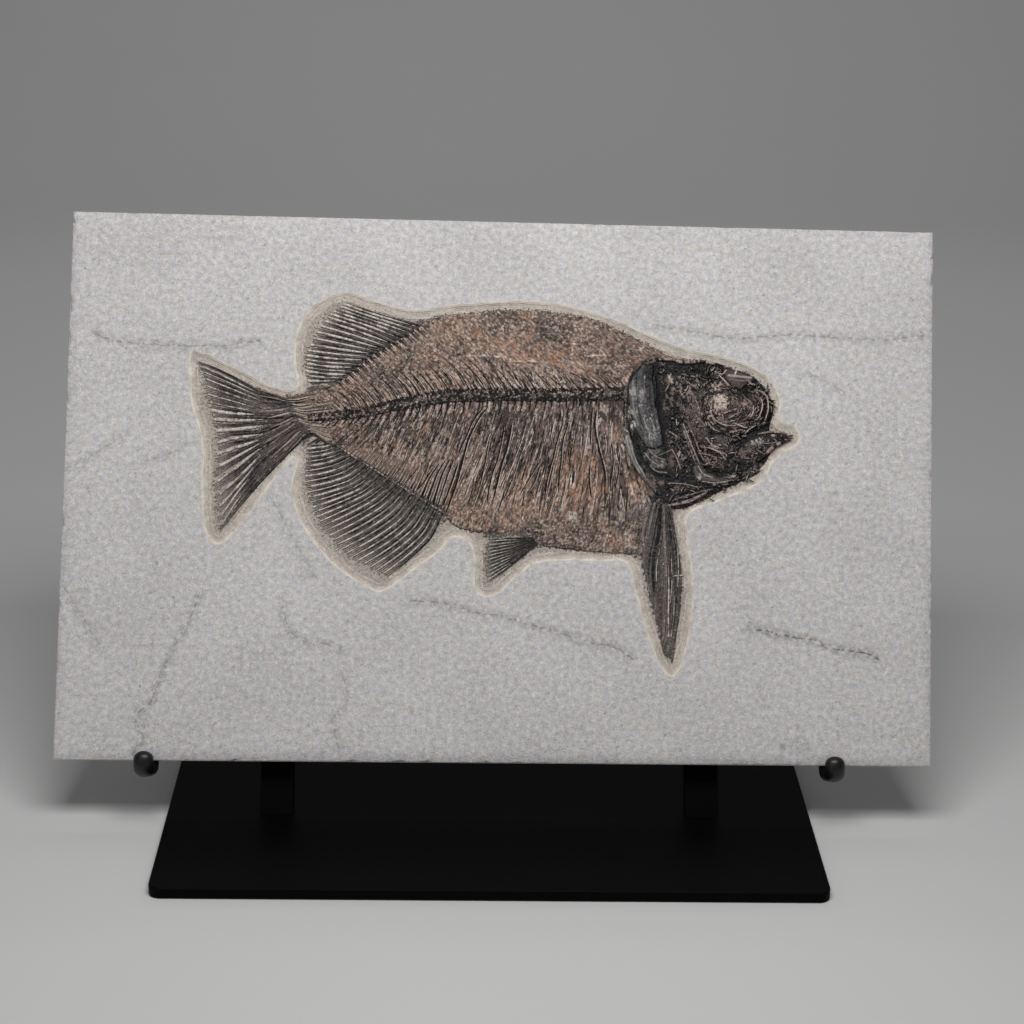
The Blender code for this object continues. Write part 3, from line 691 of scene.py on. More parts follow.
class Bench:
    """Places and joins the nodes of one material or group."""

    def __init__(self, tree: bpy.types.NodeTree) -> None:
        """Work on an empty tree."""
        self.tree = tree
        tree.nodes.clear()

    def add(self, kind: str, values: dict | None = None, **settings: object) -> bpy.types.Node:
        """Add a node.

        Args:
            kind: type of the node.
            values: number, colour or socket for each input, by name or position.
            settings: properties of the node.

        Returns:
            The new node.
        """
        node = self.tree.nodes.new(kind)
        for key, value in settings.items():
            setattr(node, key, value)
        self.fill(node, values or {})
        return node

    def fill(self, node: bpy.types.Node, values: dict) -> None:
        """Set or join the inputs of a node, by name or position."""
        for key, value in values.items():
            if isinstance(value, bpy.types.NodeSocket):
                self.tree.links.new(value, node.inputs[key])
            elif isinstance(value, tuple) and len(value) == 3 and node.inputs[key].type == "RGBA":
                node.inputs[key].default_value = (*value, 1.0)
            else:
                node.inputs[key].default_value = value

    def math(self, operation: str, one: object, two: object = 0.0,
             clamp: bool = False) -> Socket:
        """Result of a sum on two values."""
        return self.add("ShaderNodeMath", {0: one, 1: two}, operation=operation,
            use_clamp=clamp).outputs[0]

    def times(self, one: object, two: object, clamp: bool = False) -> Socket:
        """Product of two values."""
        return self.math("MULTIPLY", one, two, clamp)

    def plus(self, one: object, two: object, clamp: bool = False) -> Socket:
        """Sum of two values."""
        return self.math("ADD", one, two, clamp)

    def minus(self, one: object, two: object, clamp: bool = False) -> Socket:
        """Difference of two values."""
        return self.math("SUBTRACT", one, two, clamp)

    def mix(self, share: object, one: object, two: object) -> Socket:
        """Colour between two colours."""
        return self.add("ShaderNodeMix", {0: share, 6: one, 7: two}, data_type="RGBA").outputs[2]

    def step(self, value: object, low: object, high: object,
             start: float = 0.0, end: float = 1.0) -> Socket:
        """Smooth step of a value from start at low to end at high."""
        return self.add("ShaderNodeMapRange", {0: value, 1: low, 2: high, 3: start, 4: end},
            interpolation_type="SMOOTHSTEP").outputs[0]

    def noise(self, where: object, size: float, detail: float = 2.0,
              rough: float = 0.5) -> Socket:
        """Noise whose lumps are about size mm across."""
        return self.add("ShaderNodeTexNoise", {"Vector": where, "Scale": 1000.0 / size, "Detail": detail,
            "Roughness": rough}).outputs["Fac"]

    def turned(self, where: object, turn: float, stretch: float) -> Socket:
        """Coordinates turned by an angle, whose patterns are drawn out along the new v."""
        turned = self.add("ShaderNodeVectorRotate", {"Vector": where, "Angle": turn},
            rotation_type="Z_AXIS").outputs[0]
        return self.add("ShaderNodeVectorMath", {0: turned, 1: (1.0, 1.0 / stretch, 1.0)},
            operation="MULTIPLY").outputs[0]

    def attribute(self, name: str) -> Socket:
        """Value kept on the mesh under a name."""
        return self.add("ShaderNodeAttribute", attribute_name=name).outputs["Fac"]

    def group(self, tree: bpy.types.NodeTree, values: dict) -> Socket:
        """First result of a node group placed with its own values."""
        node = self.tree.nodes.new("ShaderNodeGroup")
        node.node_tree = tree
        self.fill(node, values)
        return node.outputs[0]

    def surface(self, colour: object, rough: object, bump: tuple, sheen: float) -> None:
        """End a material with its shader.

        Args:
            colour: its colour.
            rough: its roughness.
            bump: strength, distance in metres and height of its fine texture, or nothing.
            sheen: level of its mirror reflection.
        """
        values = {"Base Color": colour, "Roughness": rough, "Specular IOR Level": sheen}
        if bump:
            named = dict(zip(("Strength", "Distance", "Height"), bump))
            values["Normal"] = self.add("ShaderNodeBump", named).outputs[0]
        shader = self.add("ShaderNodeBsdfPrincipled", values)
        self.add("ShaderNodeOutputMaterial", {0: shader.outputs[0]})


def open_material(name: str) -> tuple[bpy.types.Material, Bench, Socket]:
    """New material, its bench and the object's own coordinates."""
    material = bpy.data.materials.new(name)
    material.use_nodes = True
    bench = Bench(material.node_tree)
    return material, bench, bench.add("ShaderNodeTexCoord").outputs["Object"]


def open_group(name: str, inputs: dict[str, tuple[str, float]],
               outputs: tuple[str, ...]) -> tuple[Bench, bpy.types.Node]:
    """Start a shader node group.

    Args:
        name: name of the group.
        inputs: socket type and default of each input.
        outputs: names of its value outputs.

    Returns:
        A bench for the group and its input node.
    """
    tree = bpy.data.node_groups.new(name, "ShaderNodeTree")
    bench = Bench(tree)
    for key, (kind, value) in inputs.items():
        socket = tree.interface.new_socket(name=key, in_out="INPUT", socket_type=kind)
        if kind == "NodeSocketFloat":
            socket.default_value = value
    for key in outputs:
        tree.interface.new_socket(name=key, in_out="OUTPUT", socket_type="NodeSocketFloat")
    return bench, tree.nodes.new("NodeGroupInput")


VECTOR = ("NodeSocketVector", 0.0)


class Effects:
    """Shader effects that several finishes share, each built once."""

    def __init__(self) -> None:
        """Build the groups."""
        self.speckle = self.build_speckle()
        self.flecks = self.build_flecks()

    def mottle(self, bench: Bench, where: object, scale: float,
               contrast: float) -> Socket:
        """Mottling on a bench, by the number of lumps in a metre."""
        return bench.group(self.speckle, {"Where": where, "Scale": scale, "Contrast": contrast})

    def grains(self, bench: Bench, where: object, scale: float,
               amount: float) -> Socket:
        """Scattered grains on a bench, by their number in a metre and their share."""
        return bench.group(self.flecks, {"Where": where, "Scale": scale, "Amount": amount})

    def build_speckle(self) -> bpy.types.NodeTree:
        """Fine mottling of a mineral surface, about 0.5 on average."""
        bench, given = open_group("speckle", {"Where": VECTOR, "Scale": ("NodeSocketFloat", 1000.0),
            "Contrast": ("NodeSocketFloat", 2.0)}, ("Value",))
        fine = bench.add("ShaderNodeTexNoise", {"Vector": given.outputs["Where"],
            "Scale": given.outputs["Scale"], "Detail": 3.0, "Roughness": 0.65}).outputs["Fac"]
        away = bench.times(bench.minus(fine, 0.5), given.outputs["Contrast"])
        value = bench.plus(away, 0.5, clamp=True)
        bench.add("NodeGroupOutput", {"Value": value})
        return bench.tree

    def build_flecks(self) -> bpy.types.NodeTree:
        """Scattered small grains of another colour."""
        bench, given = open_group("flecks", {"Where": VECTOR, "Scale": ("NodeSocketFloat", 500.0),
            "Amount": ("NodeSocketFloat", 0.2)}, ("Mask",))
        cells = bench.add("ShaderNodeTexVoronoi", {"Vector": given.outputs["Where"],
            "Scale": given.outputs["Scale"], "Randomness": 1.0})
        pick = bench.add("ShaderNodeSeparateColor", {0: cells.outputs["Color"]}).outputs[0]
        chosen = bench.math("LESS_THAN", pick, given.outputs["Amount"])
        near = bench.step(cells.outputs["Distance"], 0.5, 0.2)
        bench.add("NodeGroupOutput", {"Mask": bench.times(chosen, near)})
        return bench.tree


# --- finishes -------------------------------------------------------------------------

@dataclass(frozen=True)
class Limestone:
    """Pale grey laminated limestone, scraped to a warmer floor round the fossil."""

    light: Colour = srgb(229, 223, 219)
    cool: Colour = srgb(220, 219, 223)
    dark: Colour = srgb(160, 157, 155)
    cream: Colour = srgb(236, 227, 214)
    floor: Colour = srgb(196, 186, 176)
    # Painted shade deep in the hollow; its tool marks take this colour too.
    shade: Colour = srgb(146, 137, 129)
    grit: Colour = srgb(92, 87, 82)
    film: Colour = srgb(104, 94, 88)
    ink: Colour = srgb(48, 44, 44)
    chalk: Colour = srgb(236, 235, 232)

    def material(self, effects: Effects) -> bpy.types.Material:
        """Make the material.

        Args:
            effects: the shared shader effects.

        Returns:
            The material.
        """
        material, bench, where = open_material("limestone_scraped")
        rim = bench.attribute("rim")
        colour, speckle = self.open_face(bench, effects, where)
        inside, scrape = self.hollow(bench, effects, where, rim)
        share = bench.step(rim, -1.2, 0.6)
        colour = bench.mix(share, colour, inside)
        scrape = bench.times(scrape, share)
        height = bench.plus(speckle, bench.times(scrape, 0.8))
        rough = bench.step(speckle, 0.0, 1.0, 0.82, 0.94)
        bench.surface(colour, rough, (0.5, 0.0004, height), 0.25)
        return material

    def open_face(self, bench: Bench, effects: Effects,
                  where: object) -> tuple[object, object]:
        """Colour and grain of the stone outside the hollow."""
        speckle = effects.mottle(bench, where, 760.0, 3.0)
        coarse = effects.mottle(bench, where, 240.0, 2.9)
        cloud = bench.step(bench.noise(where, 70.0, 3.0), 0.25, 0.75)
        tone = bench.plus(bench.times(speckle, 0.46), bench.times(coarse, 0.52))
        tone = bench.plus(tone, bench.times(cloud, 0.15), clamp=True)
        hue = bench.step(bench.noise(bench.turned(where, 0.7, 1.3), 4.5, 2.0), 0.4, 0.6)
        colour = bench.mix(tone, self.dark, bench.mix(hue, self.cool, self.light))
        chips = effects.grains(bench, where, 330.0, 0.035)
        colour = bench.mix(bench.times(chips, 0.5), colour, self.chalk)
        specks = effects.grains(bench, bench.turned(where, 1.0, 1.6), 420.0, 0.05)
        colour = bench.mix(bench.times(specks, 0.3), colour, self.grit)
        vein = bench.attribute("vein")
        broken = bench.step(bench.noise(where, 3.5, 3.0), 0.36, 0.58)
        vein = bench.times(vein, broken, clamp=True)
        return bench.mix(vein, colour, self.grit), speckle

    def hollow(self, bench: Bench, effects: Effects, where: object,
               rim: object) -> tuple[object, object]:
        """Colour, painted recess shade and tool marks of the scraped floor."""
        film = bench.attribute("film")
        wander = bench.times(bench.minus(bench.noise(where, 14.0), 0.5), 3.0)
        ring = bench.plus(rim, wander)
        tool = bench.add("ShaderNodeMath", {0: bench.times(ring, 4.6)}, operation="SINE").outputs[0]
        scrape = bench.times(bench.plus(tool, 1.0), bench.step(bench.noise(where, 7.0, 2.0), 0.35, 0.65))
        mottle = effects.mottle(bench, where, 520.0, 3.4)
        # Going 0.5 to 8 mm into the hollow the floor colour darkens to the shade colour: painted shade in
        # the recess.
        depth = bench.step(ring, 0.5, 8.0)
        colour = bench.mix(depth, self.floor, self.shade)
        colour = bench.mix(bench.times(mottle, 0.5), colour, self.cream)
        # The tool marks take the same darker colour.
        colour = bench.mix(bench.times(scrape, 0.22), colour, self.shade)
        outer = bench.times(bench.step(ring, -1.0, 0.2), bench.step(ring, 2.0, 0.9))
        inner = bench.times(bench.step(ring, 5.2, 6.0), bench.step(ring, 7.4, 6.4))
        line = bench.plus(bench.times(outer, 0.75), bench.times(inner, 0.35))
        line = bench.times(line, bench.step(bench.noise(where, 9.0, 2.0), 0.3, 0.6))
        colour = bench.mix(line, colour, self.cream)
        ragged = bench.plus(film, bench.times(bench.minus(bench.noise(where, 1.3, 2.0), 0.5), 2.4))
        cover = bench.step(ragged, 0.38, 0.62)
        grain = effects.mottle(bench, where, 800.0, 5.0)
        crust = bench.mix(grain, self.ink, self.film)
        crust = bench.mix(bench.step(film, 1.0, 2.0, 0.0, 0.85), crust, srgb(26, 25, 26))
        return bench.mix(bench.times(cover, 0.92), colour, crust), scrape


@dataclass(frozen=True)
class FossilBone:
    """Carbon-dark fossil bone and skin film, tinted by what is kept on the mesh."""

    name: str
    ground: Colour = srgb(214, 187, 171)
    deep: Colour = srgb(88, 72, 65)
    black: Colour = srgb(21, 19, 20)
    pale: Colour = srgb(236, 226, 214)
    rust: Colour = srgb(190, 140, 108)
    slate: Colour = srgb(108, 108, 114)
    size: float = 1.25
    turn: float = 0.0
    stretch: float = 1.0
    contrast: float = 4.5
    dark_flecks: float = 0.3
    glint_flecks: float = 0.14
    roughness: float = 0.6
    sheen: float = 0.14

    def material(self, effects: Effects) -> bpy.types.Material:
        """Make the material.

        Args:
            effects: the shared shader effects.

        Returns:
            The material.
        """
        material, bench, where = open_material(self.name)
        where = bench.turned(where, self.turn, self.stretch)
        stain, pale, rust, slate = (bench.attribute(name) for name in CHANNELS)
        fine = effects.mottle(bench, where, 1000.0 / self.size, self.contrast)
        broad = effects.mottle(bench, where, 300.0, 3.0)
        tone = bench.plus(bench.times(fine, 0.72), bench.times(broad, 0.28))
        colour = bench.mix(tone, self.deep, self.ground)
        warm = bench.times(rust, bench.step(broad, 0.1, 0.8), clamp=True)
        colour = bench.mix(warm, colour, bench.mix(tone, srgb(84, 58, 45), self.rust))
        colour = bench.mix(slate, colour, bench.mix(tone, srgb(38, 38, 42), self.slate))
        colour = self.crumbs(bench, effects, where, colour, stain)
        edge = bench.times(bench.minus(fine, 0.5), 0.4)
        inked = bench.times(stain, bench.plus(edge, 1.12), clamp=True)
        colour = bench.mix(inked, colour, self.black)
        chalk = bench.times(pale, bench.plus(bench.times(edge, 2.0), 0.8), clamp=True)
        colour = bench.mix(chalk, colour, self.pale)
        gloss = bench.minus(self.roughness, bench.times(slate, 0.12))
        bench.surface(colour, gloss, (0.6, 0.0004, fine), self.sheen)
        return material

    def crumbs(self, bench: Bench, effects: Effects, where: object, colour: object,
               stain: object) -> object:
        """Colour with dark grains, and pale grains that are painted glints, scattered over it."""
        dark = effects.grains(bench, where, 620.0, self.dark_flecks)
        colour = bench.mix(bench.times(dark, 0.72), colour, self.black)
        # Pale grains: painted glints.
        light = effects.grains(bench, bench.turned(where, 0.7, 1.0), 560.0, self.glint_flecks)
        share = bench.minus(0.8, bench.times(stain, 0.6), clamp=True)
        return bench.mix(bench.times(light, share), colour, self.pale)


@dataclass(frozen=True)
class BlackSteel:
    """Black powder coat on flat steel, with a little dust and a fine texture."""

    coat: Colour = srgb(4, 4, 5)
    dust: Colour = srgb(14, 14, 15)
    roughness: float = 0.46
    name: str = "black_powder_coat"
    sheen: float = 0.05

    def material(self, effects: Effects) -> bpy.types.Material:
        """Make the material.

        Args:
            effects: the shared shader effects.

        Returns:
            The material.
        """
        material, bench, where = open_material(self.name)
        peel = effects.mottle(bench, where, 1400.0, 1.6)
        cloud = bench.noise(where, 45.0, 3.0)
        specks = effects.grains(bench, where, 300.0, 0.05)
        dusty = bench.plus(bench.times(specks, 0.35), bench.step(cloud, 0.5, 0.9, 0.0, 0.25), clamp=True)
        colour = bench.mix(dusty, self.coat, self.dust)
        rough = bench.plus(bench.times(peel, 0.12), self.roughness)
        bench.surface(colour, rough, (0.2, 0.0002, peel), self.sheen)
        return material


class Finishes:
    """All materials of the part, each made once."""

    def __init__(self) -> None:
        """Make the shared effects and the materials."""
        effects = Effects()
        self.stone = Limestone().material(effects)
        self.back = FossilBone("scaly_back_film", turn=-0.9, stretch=2.3, contrast=5.0, size=1.6,
            dark_flecks=0.12, glint_flecks=0.05).material(effects)
        self.belly = FossilBone("ribbed_belly_film", turn=0.2, stretch=2.4, contrast=5.5, size=1.5,
            glint_flecks=0.05, dark_flecks=0.26).material(effects)
        self.ribs = FossilBone("rib_bone", black=srgb(15, 14, 15), dark_flecks=0.12, glint_flecks=0.05,
            sheen=0.2).material(effects)
        self.head = FossilBone("crushed_head_bone", ground=srgb(228, 200, 187), deep=srgb(108, 95, 89),
            black=srgb(15, 14, 16), size=1.3, contrast=3.6, dark_flecks=0.12, glint_flecks=0.08,
            roughness=0.34, sheen=0.28).material(effects)
        self.gill = FossilBone("smooth_gill_bone", ground=srgb(118, 113, 114), deep=srgb(70, 68, 70),
            slate=srgb(126, 125, 131), size=1.5, stretch=2.2, contrast=3.4, dark_flecks=0.2,
            glint_flecks=0.06, black=srgb(14, 13, 15), roughness=0.38, sheen=0.3).material(effects)
        self.fin = FossilBone("fin_ray_bone", ground=srgb(162, 152, 145), deep=srgb(72, 67, 66),
            black=srgb(34, 32, 32), glint_flecks=0.06, dark_flecks=0.2).material(effects)
        self.steel = BlackSteel().material(effects)
        # Prongs: satin sheen and lower roughness, and a coat a little lighter than the plate's, which
        # paints in part of the light that the prongs catch.
        self.prong_steel_with_painted_light = BlackSteel(coat=srgb(8, 9, 10), roughness=0.34, sheen=0.5,
            name="satin_black_prong").material(effects)


def settle(piece: bpy.types.Object, nodes: tuple[str, ...], slot: str,
           material: bpy.types.Material) -> None:
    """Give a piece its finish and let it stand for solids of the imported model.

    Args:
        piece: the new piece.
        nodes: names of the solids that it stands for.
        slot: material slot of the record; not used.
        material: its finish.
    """
    piece.data.materials.clear()
    piece.data.materials.append(material)
    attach(piece, "root")
    if nodes:
        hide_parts(*nodes)
    LOG.info("%s: %d faces", piece.name, len(piece.data.polygons))


# --- slab -----------------------------------------------------------------------------

# Hairline veins of the stone: strength and line.
STONE_VEINS: tuple[tuple[float, Line], ...] = (
    (0.55, dots(23.7, 324.5, 28.9, 320.7, 42.9, 317, 60.4, 315.4, 80.9, 314.9, 108.8, 314.4, 128.8, 316.2,
        149.2, 319)),
    (0.4, dots(3.6, 219.9, 14.8, 223.8, 27.2, 231.5, 39.4, 240.3, 49.6, 245.5)),
    (0.35, dots(61.4, 225.3, 75.1, 229.2, 87.7, 234.5, 96, 240)),
    (0.4, dots(2, 133.6, 12.2, 117.6, 22.8, 101.1, 33.2, 86.2)),
    (0.6, dots(106, 123.2, 102.5, 110.9, 95.2, 98, 85.9, 77.9, 78.8, 60.3, 71.7, 43, 62.8, 35.4, 62, 28, 67,
        17.8, 59.8, 5.5)),
    (0.5, dots(102.6, 105.6, 90.7, 88.2, 80.8, 70.3, 75.1, 55.2)),
    (0.4, dots(68.2, 30.3, 67, 15.3, 63.4, 7.8)),
    (0.35, dots(156.3, 204.7, 164.1, 192, 171.9, 176.9, 182.3, 157, 192.4, 139.2)),
    (0.5, dots(169.1, 121.3, 171.8, 108.8, 175.7, 98.8, 187.2, 90, 200.7, 89.2, 215.9, 81.8)),
    (0.4, dots(215.1, 66.7, 219.1, 54, 220.2, 46.5, 209.1, 31.4, 212.1, 16.5, 214.8, 4)),
    (0.6, dots(265.9, 121.7, 281, 121.1, 298.4, 117.5, 316.4, 113.1, 336.3, 110.3, 354.2, 104.9, 374.2, 100,
        394.6, 93.2, 419.6, 88.3, 434.8, 78.4)),
    (0.85, dots(523.4, 103.6, 536.1, 100.7, 553.7, 96.9, 568.9, 94.7, 584.1, 88.8, 596.7, 86.9, 611.9, 85.3,
        622, 80.1)),
    (0.5, dots(450.7, 334.3, 485.2, 328.8, 512.1, 324.5, 538.9, 327.1, 562, 328.2, 592.7, 326.2, 623.4, 325,
        656, 328.5)),
    (0.4, dots(561.9, 294.9, 573.4, 296.6, 584.9, 290.5, 596.3, 284.5)),
)

# Small stains of the stone: place, radius and strength.
STONE_STAINS: tuple[tuple[float, float, float, float], ...] = (
    (74.4, 148.4, 3, 0.45), (73.6, 140.9, 2.6, 0.4), (94, 50.7, 4.5, 0.3), (182.6, 48.7, 3, 0.4),
    (63.9, 55.7, 1.1, 1), (548.2, 14.2, 5, 0.5), (470.5, 11.1, 2.6, 0.5), (303.9, 97.7, 5, 0.25),
    (356.8, 98.1, 6, 0.2), (561.1, 17.8, 8, 0.3), (591.4, 23.3, 6, 0.25), (560, 28, 4, 0.35),
    (88, 84, 6, 0.22), (585, 287, 9, 0.18), (596, 279, 6, 0.15), (565, 15.6, 7, 0.4), (554, 11.7, 5, 0.4),
    (531, 49, 7, 0.16), (93, 105, 8, 0.18), (83, 64, 8, 0.2), (206, 90, 9, 0.16), (182, 140, 8, 0.14),
    (216, 38, 7, 0.16), (645, 40, 6, 0.2), (20, 120, 7, 0.15), (40, 243, 7, 0.15), (560, 92, 7, 0.14),
)


@dataclass
class Slab:
    """Sawn slab with the prepared hollow round the fish."""

    plane: FacePlane
    corners: Line = ((0.0, 0.0), (660.0, 0.0), (665.0, 409.1), (5.0, 417.3))
    thickness: float = 20.0
    arris: float = 0.7
    depth: float = 1.8
    slope: float = 3.4
    middle: tuple[float, float] = (332.5, 206.0)
    half: tuple[float, float] = (330.0, 206.0)
    fine_step: float = 1.7
    coarse_step: float = 8.0
    seam_reach: float = 4.2
    far: float = -20.0
    rim_points: int = 2300
    grain: Grain = field(default_factory=lambda: Grain(11))

    def edge_ring(self) -> Array:
        """Points along the slab's outline, about 4 mm apart."""
        corners = np.asarray(self.corners)
        ring = []
        for start, end in zip(corners, np.roll(corners, -1, axis=0)):
            count = int(np.linalg.norm(end - start) / 4.0)
            steps = shares(count + 1)[:-1]
            ring.append(start + (end - start) * steps[:, None])
        return np.vstack(ring)

    def inset(self, ring: Array, distance: Array) -> Array:
        """Outline moved towards the slab's middle by a distance at each point."""
        middle = np.array(self.middle)
        scale = 1.0 - distance[:, None] / np.array(self.half)
        return middle + (ring - middle) * scale

    def face_places(self) -> Array:
        """Places of the face: close together round the fossil, wide apart elsewhere."""
        line = spline(HOLLOW_EDGE, even_places(HOLLOW_EDGE, self.rim_points, True)[:-1], True)
        along = np.roll(line, -1, axis=0) - np.roll(line, 1, axis=0)
        along /= np.linalg.norm(along, axis=1)[:, None]
        inward = np.column_stack([along[:, 1], -along[:, 0]])
        rows = []
        dense = line[::3]
        closed = np.vstack([dense, dense[:1]])
        for k, depth in enumerate((-1.4, -0.5, 0.1, 0.7, 1.3, 1.9, 2.5, 3.1, 3.8, 4.6, 5.4,
                                   6.3, 7.3)):
            row = (line + inward * depth)[k % 2::2]
            apart = distance_to_line(row, closed)
            rows.append(row[np.abs(apart - abs(depth)) < 0.2])
        low = line.min(axis=0)
        high = line.max(axis=0)
        grid = self.lattice(low, high, self.fine_step)
        grid = grid[inside_outline(grid, dense)]
        grid = grid[distance_to_line(grid, closed) > 8.0]
        wide = self.lattice(np.array([3.0, 3.0]), np.array([660.0, 409.0]), self.coarse_step)
        wide = wide[inside_outline(wide, self.inset(self.edge_ring(),
            np.full(len(self.edge_ring()), 4.0)))]
        wide = wide[~inside_outline(wide, dense) & (distance_to_line(wide, closed) > 4.0)]
        marks, _ = self.vein_places()
        marks = marks[~inside_outline(marks, dense) & (distance_to_line(marks, closed) > 2.0)]
        return np.vstack(rows + [grid, wide, marks])

    def vein_places(self) -> tuple[Array, Array]:
        """Places of the veins and stains, and the strength at each."""
        places = []
        values = []
        for strength, points in STONE_VEINS:
            line = smooth_line(points, 1.6)
            across = sideways(line)
            line = line + across * 2.2 * (self.grain.over(line, 5.0) - 0.5)[:, None]
            for side, share in ((-5.5, 0.0), (-2.6, 0.4), (-0.8, 0.5), (0.0, 1.2), (0.8, 0.5),
                                (2.6, 0.4), (5.5, 0.0)):
                places.append(line + across * side)
                values.append(np.full(len(line), strength * share))
        turns = np.linspace(0.0, 2.0 * math.pi, 13)[:-1]
        for u, v, radius, strength in STONE_STAINS:
            for share, value in ((1.0, 0.0), (0.5, 0.7)):
                wobble = radius * share * (0.8 + 0.4 * self.grain.cloud(u + turns, v, 1.0))
                places.append(np.column_stack([u + 0.7 * wobble * np.cos(turns), v + wobble
                    * np.sin(turns)]))
                values.append(np.full(len(turns), strength * value))
            places.append(np.array([[u, v]]))
            values.append(np.array([strength]))
        return np.vstack(places), np.concatenate(values)

    def film(self, places: Array, apart: list[Array]) -> Array:
        """How much dark film covers the floor.

        Args:
            places: points (u, v) of the floor.
            apart: distance of each point from every patch of bone.

        Returns:
            Shares from 0 to 1.
        """
        nearest = np.sort(np.stack(apart), axis=0)
        body = np.min(np.stack([apart[k] for k in (5, 6, 7, 8, 9)]), axis=0)
        film = np.maximum(0.62 * np.exp(-(body / 1.8) ** 2), 0.26 * np.exp(-(nearest[0] / 2.5) ** 2))
        film = np.maximum(film, 0.75 * (nearest[1] < self.seam_reach))
        for patch, dark, pale, start in (
                (TAIL, 0.95, 0.3, 0.3), (DORSAL, 0.3, 0.1, 0.0), (ANAL, 0.7, 0.15, 0.02),
                (PELVIC, 0.8, 0.3, 0.1), (PECTORAL, 1.0, 0.9, 0.1)):
            inside = np.flatnonzero(inside_outline(places, patch.border()))
            root = distance_to_line(places[inside], smooth_line(patch.rails[0], 4.0))
            tip = distance_to_line(places[inside], smooth_line(patch.rails[-1], 4.0))
            share = root / (root + tip + 0.01)
            film[inside] = dark - (dark - pale) * rise(share, start, start + 0.35)
        film[inside_outline(places, HEAD_BED.border())] = 2.0
        return film

    def lattice(self, low: Array, high: Array, step: float) -> Array:
        """Places of a staggered lattice between two corners."""
        u, v = np.meshgrid(np.arange(low[0], high[0], step), np.arange(low[1], high[1], step * 0.87))
        u = u + (np.arange(u.shape[0]) % 2)[:, None] * step / 2.0
        return np.column_stack([u.ravel(), v.ravel()])

    def levels(self, places: Array) -> tuple[Array, dict[str, Array]]:
        """Height of the stone and what is kept on its mesh.

        Args:
            places: points (u, v) of the face.

        Returns:
            Heights in mm, and the shares of rim, film and vein.
        """
        dense = spline(HOLLOW_EDGE, even_places(HOLLOW_EDGE, 900, True)[:-1], True)
        closed = np.vstack([dense, dense[:1]])
        rim = np.full(len(places), self.far)
        near = (places > dense.min(axis=0) - 4.0).all(axis=1)
        near &= (places < dense.max(axis=0) + 4.0).all(axis=1)
        close = np.flatnonzero(near)
        rim[close] = distance_to_line(places[close], closed)
        rim[close] *= np.where(inside_outline(places[close], dense), 1.0, -1.0)
        hollow = np.flatnonzero(rim > -1.0)
        apart = []
        for patch in (TAIL, DORSAL, ANAL, PELVIC, PECTORAL, FLANK, SKULL, JAW, THROAT, GILL):
            border = patch.border()
            away = distance_to_line(places[hollow], np.vstack([border, border[:1]]))
            apart.append(np.where(inside_outline(places[hollow], border), 0.0, away))
        film = np.zeros(len(places))
        film[hollow] = self.film(places[hollow], apart)
        wander = 0.9 * (self.grain.over(places, 16.0) - 0.5)
        height = -self.depth * rise(rim + wander, -0.2, self.slope)
        height += 0.22 * np.exp(-((rim + 2.0 * wander - 6.3) / 0.8) ** 2)
        tooled = self.grain.over(places, 2.4) - 0.5
        height += 0.3 * tooled * rise(rim, 0.5, 3.0)
        height = np.where(rim > 0.5, np.clip(height, -self.depth - 0.2, 0.0), height)
        close = np.sort(np.stack(apart), axis=0)
        seam = (close[1] < self.seam_reach) & (close[0] < 3.0)
        seam &= ~inside_outline(places[hollow], HEAD_BED.border())
        height[hollow] += seam * (0.9 + 0.8 * tooled[hollow])
        vein = np.zeros(len(places))
        marks, values = self.vein_places()
        tree = KDTree(len(marks))
        for k, mark in enumerate(marks):
            tree.insert((*mark, 0.0), k)
        tree.balance()
        for k in np.flatnonzero(rim < -1.0):
            _, index, apart_mm = tree.find((*places[k], 0.0))
            if apart_mm < 0.02:
                vein[k] = values[index]
        height -= 0.22 * vein
        return np.minimum(height, 0.0), {"rim": rim, "film": film, "vein": vein}

    def build(self, finishes: Finishes) -> None:
        """Make the slab in its finish."""
        ring = self.edge_ring()
        chips = self.grain.cloud(ring[:, 0] + ring[:, 1], ring[:, 1] * 0.7, 9.0)
        worn = self.arris + 1.6 * rise(chips, 0.58, 0.8)
        inner = self.inset(ring, worn)
        places = np.vstack([inner, self.face_places()])
        edges = [(k, (k + 1) % len(ring)) for k in range(len(ring))]
        out = delaunay_2d_cdt([Vector(p) for p in places], edges, [], 1, 1e-4)
        face_uv = np.array([tuple(p) for p in out[0]])
        faces = [list(face) for face in out[2]]
        origin = {source: k for k, sources in enumerate(out[3]) for source in sources}
        rim_index = [origin[k] for k in range(len(ring))]
        height, kept = self.levels(face_uv)
        count = len(face_uv)
        size = len(ring)
        back = self.thickness
        rings = [(ring, np.full(size, -1.0) * worn), (ring, worn - back), (inner, np.full(size, -back))]
        all_places = [np.column_stack([face_uv, height])]
        rows = [rim_index]
        for outline, level in rings:
            all_places.append(np.column_stack([outline, level]))
            rows.append(list(range(count, count + size)))
            count += size
        for upper, lower in zip(rows[:-1], rows[1:]):
            faces += [[upper[(k + 1) % size], upper[k], lower[k], lower[(k + 1) % size]]
                for k in range(size)]
        faces.append(rows[-1][::-1])
        channels = {key: np.concatenate([values, np.full(3 * size, self.far * (key == "rim"))]) for key,
            values in kept.items()}
        piece = make_piece("limestone_slab", np.vstack(all_places), faces, channels, self.plane, 3 * size
            + 1)
        settle(piece, ("slab",), "limestone", finishes.stone)


# --- fish: side of the body -----------------------------------------------------------

